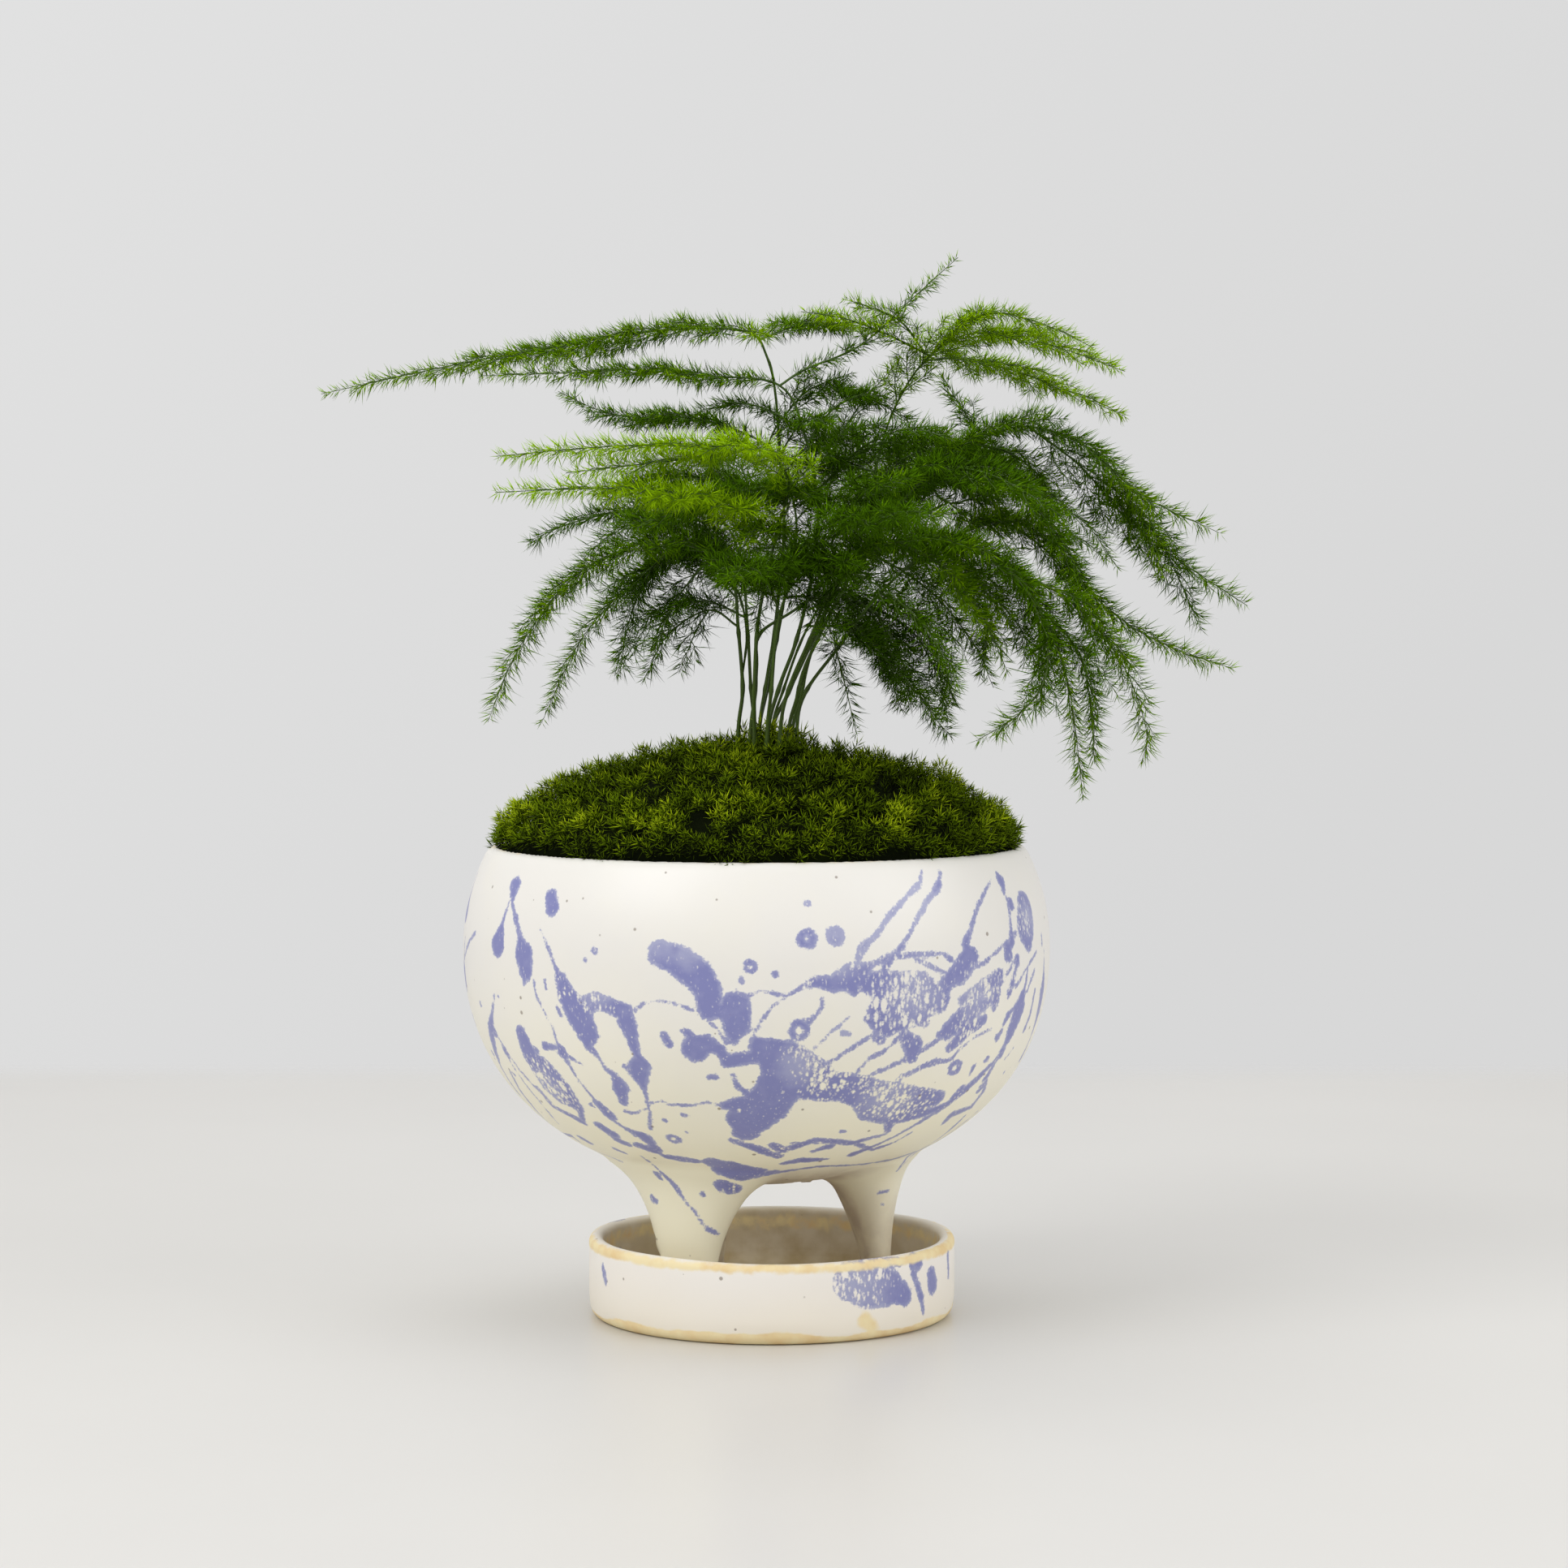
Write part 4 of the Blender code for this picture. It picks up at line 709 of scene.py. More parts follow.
def run_field(points, runs, field):
    """Lowers a field of distances to that of the nearest tapering run."""
    for run in runs:
        for (a, wide_a), (b, wide_b) in zip(run, run[1:]):
            along = b - a
            share = np.clip((points - a) @ along / max(along @ along, 1e-6), 0, 1)
            gap = np.linalg.norm(points - a - share[:, None] * along, axis=1)
            np.minimum(field, gap - wide_a - (wide_b - wide_a) * share, out=field)
    return field


def splash_field(points, runs, rings):
    """Distance of each point from the nearest splash's edge, negative inside it."""
    field = run_field(points, runs, np.full(len(points), 9.0))
    for middle, outer, inner in rings:
        gap = np.linalg.norm(points - middle, axis=1)
        np.minimum(field, np.maximum(gap - outer, inner - gap), out=field)
    return field


def soft_spots(points, spots):
    """How strongly soft round spots lie over each point, 0 to 1."""
    field = np.zeros(len(points))
    for middle, radius, strength in spots:
        near = np.linalg.norm(points - middle, axis=1) / radius
        np.maximum(field, strength * np.clip(1.4 - near, 0, 1), out=field)
    return field


def lifted(run, turn):
    """A run drawn on the pot's front as points on its skin, close enough together to follow it."""
    found = []
    for (x0, z0, w0), (x1, z1, w1) in zip(run, run[1:]):
        count = max(1, round(math.hypot(x1 - x0, z1 - z0) / 2.5))
        for k in range(count + (x1 == run[-1][0] and z1 == run[-1][1])):
            t = k / count
            place = on_front(x0 + (x1 - x0) * t, z0 + (z1 - z0) * t, turn)
            if place is not None:
                found.append((place, w0 + (w1 - w0) * t))
    return found


def glaze(name, body_hex, low_hex, thin_glaze_and_shade_hex, low_z, high_z):
    """Satin tin-white stoneware glaze, with a second lavender glaze flung over it from a brush and
    fired in: iron specks, bubbles in the thick places, and clay where the glaze runs thin."""
    finish, tree, shader, place = new_finish(name)
    high = add(tree, "ShaderNodeSeparateXYZ", {0: place}).outputs["Z"]
    grain = add(tree, "ShaderNodeTexNoise",
                {"Vector": place, "Scale": scale_of(2.6), "Detail": 5}).outputs["Fac"]

    # Cream-white body glaze: warmer lower down, with soft clouds. On the pot the lower colour is lighter as
    # well, which is painted light against the shade under the bowl
    clouds = add(tree, "ShaderNodeTexNoise",
                 {"Vector": place, "Scale": scale_of(24), "Detail": 3}).outputs["Fac"]
    lower_blend = add(tree, "ShaderNodeMapRange", {0: high, 1: high_z * MM, 2: low_z * MM, 3: -0.25, 4: 0.75},
               interpolation_type="SMOOTHSTEP").outputs[0]
    lower_blend = add(tree, "ShaderNodeMath", {0: clouds, 1: 0.5, 2: lower_blend}, operation="MULTIPLY_ADD",
               use_clamp=True).outputs[0]
    body = add(tree, "ShaderNodeMix", {0: lower_blend, 6: linear(body_hex), 7: linear(low_hex)},
               data_type="RGBA").outputs[2]

    # A thin blotchy wash where the glaze was only rinsed on, which is also painted shade: it is laid under
    # the bowl, on the legs' inner faces, on the right leg and inside the saucer
    thin_glaze_and_shade = add(tree, "ShaderNodeAttribute", attribute_name="thin_glaze_and_shade").outputs["Fac"]
    blotch = add(tree, "ShaderNodeTexNoise",
                 {"Vector": place, "Scale": scale_of(7), "Detail": 4}).outputs["Fac"]
    blotch = add(tree, "ShaderNodeMapRange", {0: blotch, 1: 0.35, 2: 0.6, 3: 0.55, 4: 1.0}).outputs[0]
    thin_glaze_and_shade = add(tree, "ShaderNodeMath", {0: thin_glaze_and_shade, 1: blotch}, operation="MULTIPLY").outputs[0]
    body = add(tree, "ShaderNodeMix", {0: thin_glaze_and_shade, 6: body, 7: linear(thin_glaze_and_shade_hex)}, data_type="RGBA").outputs[2]

    # Ragged edges, as coarse as the glaze's crawling shows
    edge = add(tree, "ShaderNodeAttribute", attribute_name="splash").outputs["Fac"]
    for size, detail, strength in ((5.0, 2, 1.1), (1.5, 3, 1.2), (0.55, 2, 1.0)):
        crawl = add(tree, "ShaderNodeTexNoise", {"Vector": place, "Scale": scale_of(size), "Detail": detail})
        crawl = add(tree, "ShaderNodeMath", {0: crawl.outputs["Fac"], 1: 0.5},
                    operation="SUBTRACT").outputs[0]
        edge = add(tree, "ShaderNodeMath", {0: crawl, 1: strength, 2: edge},
                   operation="MULTIPLY_ADD").outputs[0]

    # Bubbles that burst in the kiln: crowded in the frothy places, rare round eyes elsewhere
    froth = add(tree, "ShaderNodeAttribute", attribute_name="froth").outputs["Fac"]
    tall = add(tree, "ShaderNodeMapping", {"Vector": place, "Scale": (1, 1, 0.45)}).outputs[0]
    hole = None
    for size, least, most, wanted in ((0.85, 0.15, 0.65, froth), (1.7, 0.0, 0.6, froth),
                                      (5.2, 0.0, 0.12, 1.0)):
        cells = add(tree, "ShaderNodeTexVoronoi", {"Vector": tall, "Scale": scale_of(size)})
        chance = add(tree, "ShaderNodeSeparateColor", {0: cells.outputs["Color"]}).outputs[0]
        chance = add(tree, "ShaderNodeMapRange", {0: chance, 3: least, 4: most}).outputs[0]
        widest = add(tree, "ShaderNodeMath", {0: chance, 1: wanted}, operation="MULTIPLY").outputs[0]
        burst = add(tree, "ShaderNodeMath", {0: widest, 1: cells.outputs["Distance"]}, operation="SUBTRACT")
        burst = add(tree, "ShaderNodeMath", {0: burst.outputs[0], 1: size}, operation="MULTIPLY").outputs[0]
        if hole:
            hole = add(tree, "ShaderNodeMath", {0: hole, 1: burst}, operation="MAXIMUM").outputs[0]
        else:
            hole = burst
    hole = add(tree, "ShaderNodeMath", {0: crawl, 1: 0.8, 2: hole}, operation="MULTIPLY_ADD").outputs[0]
    open_edge = add(tree, "ShaderNodeMath", {0: edge, 1: hole}, operation="MAXIMUM").outputs[0]
    cover = add(tree, "ShaderNodeMapRange", {0: open_edge, 1: 0.24, 2: -0.24, 3: 0.0, 4: 1.0},
                interpolation_type="SMOOTHSTEP").outputs[0]

    # Lavender: paler and grainy where it is thin, and faintly clouded all over
    thin = add(tree, "ShaderNodeAttribute", attribute_name="thin").outputs["Fac"]
    deep = add(tree, "ShaderNodeMapRange", {0: edge, 1: 0.1, 2: -1.0, 3: 0.1, 4: 1.0}).outputs[0]
    deep = add(tree, "ShaderNodeMath", {0: grain, 1: 0.9, 2: deep}, operation="MULTIPLY_ADD").outputs[0]
    deep = add(tree, "ShaderNodeMath", {0: deep, 1: 0.45}, operation="SUBTRACT").outputs[0]
    deep = add(tree, "ShaderNodeMath", {0: deep, 1: thin}, operation="SUBTRACT", use_clamp=True).outputs[0]
    lavender = add(tree, "ShaderNodeMix", {0: deep, 6: linear("#a5a7c6"), 7: linear("#8083b6")},
                   data_type="RGBA").outputs[2]
    colour = add(tree, "ShaderNodeMix", {0: cover, 6: body, 7: lavender}, data_type="RGBA").outputs[2]

    # Iron specks that burn through from the clay
    iron = add(tree, "ShaderNodeTexVoronoi", {"Vector": place, "Scale": scale_of(3.8)})
    pick = add(tree, "ShaderNodeSeparateColor", {0: iron.outputs["Color"]}).outputs[0]
    size = add(tree, "ShaderNodeMapRange", {0: pick, 1: 0.58, 2: 1.0, 3: 0.0, 4: 0.13}).outputs[0]
    speck = add(tree, "ShaderNodeMath", {0: size, 1: iron.outputs["Distance"]},
                operation="SUBTRACT").outputs[0]
    speck = add(tree, "ShaderNodeMapRange", {0: speck, 1: -0.02, 2: 0.03, 3: 0.0, 4: 0.65}).outputs[0]
    colour = add(tree, "ShaderNodeMix", {0: speck, 6: colour, 7: linear("#6b5540")},
                 data_type="RGBA").outputs[2]

    # Clay that shows where the glaze broke over an edge or was wiped off
    bare = add(tree, "ShaderNodeAttribute", attribute_name="clay").outputs["Fac"]
    bare = add(tree, "ShaderNodeMath", {0: grain, 1: 0.9, 2: bare}, operation="MULTIPLY_ADD").outputs[0]
    bare = add(tree, "ShaderNodeMapRange", {0: bare, 1: 0.72, 2: 1.25},
               interpolation_type="SMOOTHSTEP").outputs[0]
    ochre = add(tree, "ShaderNodeMix", {0: blotch, 6: linear("#ddb068"), 7: linear("#f3e3b6")},
                data_type="RGBA").outputs[2]
    colour = add(tree, "ShaderNodeMix", {0: bare, 6: colour, 7: ochre}, data_type="RGBA").outputs[2]
    tree.links.new(colour, shader.inputs["Base Color"])

    # Satin gloss, drier on bare clay and a little glassier on the lavender
    gloss = add(tree, "ShaderNodeMapRange", {0: cover, 3: 0.4, 4: 0.34}).outputs[0]
    gloss = add(tree, "ShaderNodeMix", {0: bare, 2: gloss, 3: 0.7}).outputs[0]
    tree.links.new(gloss, shader.inputs["Roughness"])
    skin = add(tree, "ShaderNodeTexNoise",
               {"Vector": place, "Scale": scale_of(9), "Detail": 4}).outputs["Fac"]
    relief = add(tree, "ShaderNodeMath", {0: cover, 1: 0.3, 2: skin}, operation="MULTIPLY_ADD").outputs[0]
    relief = add(tree, "ShaderNodeMath", {0: speck, 1: -0.3, 2: relief}, operation="MULTIPLY_ADD").outputs[0]
    bump = add(tree, "ShaderNodeBump", {"Height": relief, "Strength": 0.35, "Distance": 0.12 * MM})
    tree.links.new(bump.outputs[0], shader.inputs["Normal"])
    shader.inputs["IOR"].default_value = 1.5
    return finish


def needle_finish():
    """Living cladodes of an asparagus fern: waxy dark green when old, yellow-green when new."""
    finish, tree, shader, place = new_finish("asparagus_fern_green")
    tone = add(tree, "ShaderNodeAttribute", attribute_name="tone").outputs["Fac"]
    patch = add(tree, "ShaderNodeTexNoise", {"Vector": place, "Scale": scale_of(14), "Detail": 2})
    tone = add(tree, "ShaderNodeMath", {0: patch.outputs["Fac"], 1: 0.3, 2: tone},
               operation="MULTIPLY_ADD").outputs[0]
    tone = add(tree, "ShaderNodeMath", {0: tone, 1: 0.15}, operation="SUBTRACT").outputs[0]
    old = add(tree, "ShaderNodeMapRange", {0: tone, 1: 0.0, 2: 0.45}).outputs[0]
    new = add(tree, "ShaderNodeMapRange", {0: tone, 1: 0.45, 2: 1.0}).outputs[0]
    colour = add(tree, "ShaderNodeMix", {0: old, 6: linear("#182b00"), 7: linear("#4f7900")},
                 data_type="RGBA")
    colour = add(tree, "ShaderNodeMix", {0: new, 6: colour.outputs[2], 7: linear("#9ec908")},
                 data_type="RGBA")
    tree.links.new(colour.outputs[2], shader.inputs["Base Color"])
    shader.inputs["Roughness"].default_value = 0.7
    shader.inputs["Specular IOR Level"].default_value = 0.03
    return finish


def stem_finish():
    """Wiry fern stems: smooth green skin that browns towards the soil, with faint long ribs."""
    finish, tree, shader, place = new_finish("fern_stem_skin")
    high = add(tree, "ShaderNodeSeparateXYZ", {0: place}).outputs["Z"]
    young = add(tree, "ShaderNodeMapRange", {0: high, 1: 0.135, 2: 0.19}).outputs[0]
    streak = add(tree, "ShaderNodeMapping", {"Vector": place, "Scale": (1, 1, 0.12)}).outputs[0]
    streak = add(tree, "ShaderNodeTexNoise",
                 {"Vector": streak, "Scale": scale_of(0.9), "Detail": 2}).outputs["Fac"]
    colour = add(tree, "ShaderNodeMix", {0: young, 6: linear("#363c10"), 7: linear("#283f08")},
                 data_type="RGBA")
    colour = add(tree, "ShaderNodeMix", {0: streak, 6: colour.outputs[2], 7: linear("#4c6a18")},
                 data_type="RGBA")
    tree.links.new(colour.outputs[2], shader.inputs["Base Color"])
    shader.inputs["Roughness"].default_value = 0.5
    shader.inputs["Specular IOR Level"].default_value = 0.3
    return finish


def moss_finish(name, dark, mid, bright):
    """Cushion moss: soft leaves, olive in the depth of the mat and yellow-green at the tips; the tone
    attribute also carries painted light and shade.
    """
    finish, tree, shader, place = new_finish(name)
    tone = add(tree, "ShaderNodeAttribute", attribute_name="tone").outputs["Fac"]
    patch = add(tree, "ShaderNodeTexNoise", {"Vector": place, "Scale": scale_of(9), "Detail": 3})
    tone = add(tree, "ShaderNodeMath", {0: patch.outputs["Fac"], 1: 0.7, 2: tone},
               operation="MULTIPLY_ADD").outputs[0]
    tone = add(tree, "ShaderNodeMath", {0: tone, 1: 0.35}, operation="SUBTRACT").outputs[0]
    low = add(tree, "ShaderNodeMapRange", {0: tone, 1: 0.0, 2: 0.5}).outputs[0]
    high = add(tree, "ShaderNodeMapRange", {0: tone, 1: 0.5, 2: 1.0}).outputs[0]
    colour = add(tree, "ShaderNodeMix", {0: low, 6: linear(dark), 7: linear(mid)}, data_type="RGBA")
    colour = add(tree, "ShaderNodeMix", {0: high, 6: colour.outputs[2], 7: linear(bright)}, data_type="RGBA")
    tree.links.new(colour.outputs[2], shader.inputs["Base Color"])
    shader.inputs["Roughness"].default_value = 0.9
    shader.inputs["Specular IOR Level"].default_value = 0.05
    return finish


def soil_finish():
    """Damp potting soil: peat crumbs with paler grit."""
    finish, tree, shader, place = new_finish("potting_soil")
    crumbs = add(tree, "ShaderNodeTexVoronoi", {"Vector": place, "Scale": scale_of(2.2)})
    colour = add(tree, "ShaderNodeMix",
                 {0: crumbs.outputs["Distance"], 6: linear("#1d140c"), 7: linear("#4b3826")},
                 data_type="RGBA")
    tree.links.new(colour.outputs[2], shader.inputs["Base Color"])
    bump = add(tree, "ShaderNodeBump", {"Height": crumbs.outputs["Distance"], "Distance": 1 * MM})
    tree.links.new(bump.outputs[0], shader.inputs["Normal"])
    shader.inputs["Roughness"].default_value = 0.95
    return finish


def table_finish():
    """A white lacquered table top, wiped clean: a faint broad sheen, fading out at its long edges."""
    finish, tree, shader, place = new_finish("white_lacquered_table")
    mottle = add(tree, "ShaderNodeTexNoise", {"Vector": place, "Scale": scale_of(120), "Detail": 3})
    colour = add(tree, "ShaderNodeMix",
                 {0: mottle.outputs["Fac"], 6: linear("#cfcdc9"), 7: linear("#d5d3cf")},
                 data_type="RGBA")
    tree.links.new(colour.outputs[2], shader.inputs["Base Color"])
    shader.inputs["Roughness"].default_value = 0.3
    deep = add(tree, "ShaderNodeSeparateXYZ", {0: place}).outputs["Y"]
    deep = add(tree, "ShaderNodeMath", {0: deep}, operation="ABSOLUTE").outputs[0]
    end = TABLE_HALF_DEPTH * MM
    fade = add(tree, "ShaderNodeMapRange", {0: deep, 1: end - 2 * TABLE_FADE * MM, 2: end, 3: 1.0, 4: 0.0},
               interpolation_type="SMOOTHSTEP").outputs[0]
    tree.links.new(fade, shader.inputs["Alpha"])
    return finish


def make_camera():
    """The camera of the photograph, which looks slightly down at the pot."""
    data = bpy.data.cameras.new("camera")
    data.sensor_width = SENSOR
    data.lens = SENSOR * FOCAL_PIXELS / PHOTO_PIXELS
    camera = bpy.data.objects.new("camera", data)
    camera.location = Vector(CAMERA_PLACE) * MM
    camera.rotation_euler = (math.pi / 2 - math.atan(HORIZON_PIXELS / FOCAL_PIXELS), 0, 0)
    bpy.context.scene.collection.objects.link(camera)
    bpy.context.scene.camera = camera


def make_light(name, place, size, power, aim=(0, 0, 130)):
    """A square softbox that faces the plant."""
    data = bpy.data.lights.new(name, "AREA")
    data.size = size * MM
    data.energy = power
    lamp = bpy.data.objects.new(name, data)
    lamp.location = Vector(place) * MM
    lamp.rotation_euler = (Vector(aim) - Vector(place)).to_track_quat("-Z", "Y").to_euler()
    bpy.context.scene.collection.objects.link(lamp)


def make_stage():
    """A pale table top before a pale wall, and soft light from the upper left."""
    bpy.context.scene.view_settings.view_transform = "Standard"
    bpy.ops.object.select_all(action="DESELECT")
    bpy.ops.mesh.primitive_plane_add(size=2)
    table = bpy.context.object
    table.name = "table_top"
    table.data.transform(Matrix.Diagonal((TABLE_HALF_WIDTH * MM, TABLE_HALF_DEPTH * MM, 1, 1)))
    table.data.materials.append(table_finish())
    world = bpy.data.worlds.new("studio")
    bpy.context.scene.world = world
    world.use_nodes = True
    tree = world.node_tree
    back = tree.nodes["Background"]
    # The wall seen by the camera is a little darker towards the lower right: painted shade
    way = add(tree, "ShaderNodeTexCoord").outputs["Generated"]
    way = add(tree, "ShaderNodeSeparateXYZ", {0: way})
    wall_painted_shade = add(tree, "ShaderNodeMath", {0: way.outputs["X"], 1: way.outputs["Z"]}, operation="SUBTRACT")
    wall_painted_shade = add(tree, "ShaderNodeMapRange", {0: wall_painted_shade.outputs[0], 1: -0.34, 2: 0.2}).outputs[0]
    wall = add(tree, "ShaderNodeMix", {0: wall_painted_shade, 6: linear("#e1e1e1"), 7: linear("#d8d8d8")},
               data_type="RGBA")
    seen = add(tree, "ShaderNodeLightPath").outputs["Is Camera Ray"]
    glow = add(tree, "ShaderNodeMix", {0: seen, 6: (0.6, 0.6, 0.6, 1), 7: wall.outputs[2]}, data_type="RGBA")
    tree.links.new(glow.outputs[2], back.inputs["Color"])
    make_light("softbox_left", (-900, -800, 1100), 900, 11)
    make_light("softbox_right", (1100, -500, 700), 900, 5.5)
    make_light("softbox_top", (0, 200, 1300), 1000, 7)


def make_saucer():
    """A thrown saucer: an upright wall with a rounded lip, and a hollow floor with throwing rings."""
    bpy.ops.object.select_all(action="DESELECT")
    bpy.ops.mesh.primitive_cylinder_add(vertices=SAUCER_SIDES, radius=SAUCER_RADIUS * MM,
                                        depth=SAUCER_HEIGHT * MM, location=(0, 0, SAUCER_HEIGHT / 2 * MM))
    saucer = bpy.context.object
    saucer.name = "glazed_saucer"
    bpy.ops.object.transform_apply(location=True, rotation=True, scale=True)
    inner = SAUCER_RADIUS - SAUCER_WALL
    bpy.ops.object.mode_set(mode="EDIT")
    choose(saucer, "faces", lambda p: p.z > SAUCER_HEIGHT - 0.1)
    bpy.ops.mesh.inset(thickness=SAUCER_WALL * MM)
    down = (0, 0, (SAUCER_FLOOR - SAUCER_HEIGHT) * MM)
    bpy.ops.mesh.extrude_region_move(TRANSFORM_OT_translate={"value": down})
    edges = ((SAUCER_HEIGHT, SAUCER_RADIUS, 1.75, 6), (SAUCER_HEIGHT, inner, 1.75, 6),
             (SAUCER_FLOOR, inner, 5.0, 6),
             (0.0, SAUCER_RADIUS, 2.0, 4))
    for height, radius, offset, segments in edges:
        choose(saucer, "edges",
               lambda p: abs(p.z - height) < 0.05 and abs(math.hypot(p.x, p.y) - radius) < 0.1)
        bpy.ops.mesh.bevel(offset=offset * MM, offset_type="OFFSET", segments=segments, profile=0.5)
    for k in range(1, SAUCER_RINGS):
        height = 1.6 + (SAUCER_HEIGHT - 3.4) * k / SAUCER_RINGS
        bpy.ops.mesh.select_all(action="SELECT")
        bpy.ops.mesh.bisect(plane_co=(0, 0, height * MM), plane_no=(0, 0, 1))
    choose(saucer, "faces", lambda p: abs(p.z - SAUCER_FLOOR) < 0.05 and math.hypot(p.x, p.y) < 1)
    for _ in range(SAUCER_FLOOR_RINGS):
        bpy.ops.mesh.inset(thickness=SAUCER_FLOOR_RING * MM)
    bpy.ops.mesh.poke()
    bpy.ops.object.mode_set(mode="OBJECT")

    points = points_of(saucer.data)
    x, y, z = points.T
    r = np.hypot(x, y)
    around = np.arctan2(y, x)
    floor = (z < SAUCER_FLOOR + 0.3) & (z > 3)
    z = z + np.where(floor, 0.16 * np.sin(r * 1.9 + 0.4 * np.sin(around)), 0)
    lip = np.clip((z - 15) / 4, 0, 1)
    z = z + lip * (0.16 * np.sin(2 * around + 0.6) + 0.1 * np.sin(5 * around))
    wall = np.clip(z / 5, 0, 1)
    swell = wall * (0.18 * np.sin(3 * around + 0.3) + 0.1 * np.sin(7 * around))
    taper = -0.9 * np.clip(1 - z / 6, 0, 1) ** 2
    grown = (r + np.where(r > inner - 6, swell + np.where(r > inner + 1, taper, 0), 0)) / np.maximum(r, 1e-6)
    points = np.stack([x * grown, y * grown, z], axis=1)
    put_points(saucer.data, points)
    saucer.data.shade_smooth()

    def on_wall(azimuth, height):
        angle = math.radians(azimuth)
        return np.array([SAUCER_RADIUS * math.cos(angle), SAUCER_RADIUS * math.sin(angle), height])

    runs = [[(on_wall(a, h), w) for a, h, w in run] for run in SAUCER_SPLASHES]
    runs += [[(np.array([-40.4, 8.0, 14.0]), 0.9), (np.array([-40.2, 9.0, 9.0]), 0.7)],
             [(np.array([-37.0, 16.0, 12.0]), 0.9), (np.array([-37.0, 16.0, 9.5]), 0.8)],
             [(np.array([-5.0, -26.0, 4.5]), 1.0), (np.array([2.0, -27.0, 4.5]), 0.8)],
             [(np.array([14.0, -24.0, 4.5]), 0.8), (np.array([17.0, -23.0, 4.5]), 0.7)],
             [(np.array([8.0, 20.0, 4.5]), 1.5), (np.array([14.0, 24.0, 4.5]), 1.0)]]
    store(saucer.data, "splash", run_field(points, runs, np.full(len(points), 9.0)))
    froth = [(on_wall(a, h), radius, strength) for a, h, radius, strength in SAUCER_FROTH]
    store(saucer.data, "froth", soft_spots(points, froth))
    store(saucer.data, "thin", soft_spots(points,
                                          [(on_wall(-65, 14), 10.0, 0.9), (on_wall(154, 19), 5, 0.5)]))
    uneven = 0.5 * np.sin(around * 3 + 1) + 0.35 * np.sin(around * 7) + 0.3 * np.sin(around * 13 + 2)
    x, y, z = points.T
    r = np.hypot(x, y)
    foot = 1.1 * np.clip((3.0 + uneven - z) / 1.0, 0, 1) * (r > SAUCER_RADIUS - 5)
    patch = 0.95 * np.exp(-(np.linalg.norm(points - on_wall(-60.5, 5.4), axis=1) / 2.2) ** 2)
    patch += 0.7 * np.exp(-(np.linalg.norm(points - on_wall(-57.5, 3.4), axis=1) / 2.0) ** 2)
    sides = 0.95 + 0.13 * np.cos(2 * around)
    edge = sides * np.exp(-((z - 17.9 - 0.2 * uneven) / 1.3) ** 2) * (r > SAUCER_RADIUS - 1.8)
    stain = 0.62 * np.exp(-((z - 15.5) / 2.5) ** 2) * (r < inner + 0.4)
    store(saucer.data, "clay", np.maximum.reduce([foot + patch, edge, stain, (z < 0.2) * 1.0]))
    # Painted shade together with thin glaze: the wash darkens the saucer's whole inside, where the pot
    # stands over it
    store(saucer.data, "thin_glaze_and_shade", np.clip((inner + 0.9 - r) / 1.4, 0, 1))
    finish = glaze("tin_white_saucer_glaze", "#f4efe8", "#f1e9d9", "#c2b08c", 0, 19)
    settle(saucer, finish, "saucer_glaze", "saucer")


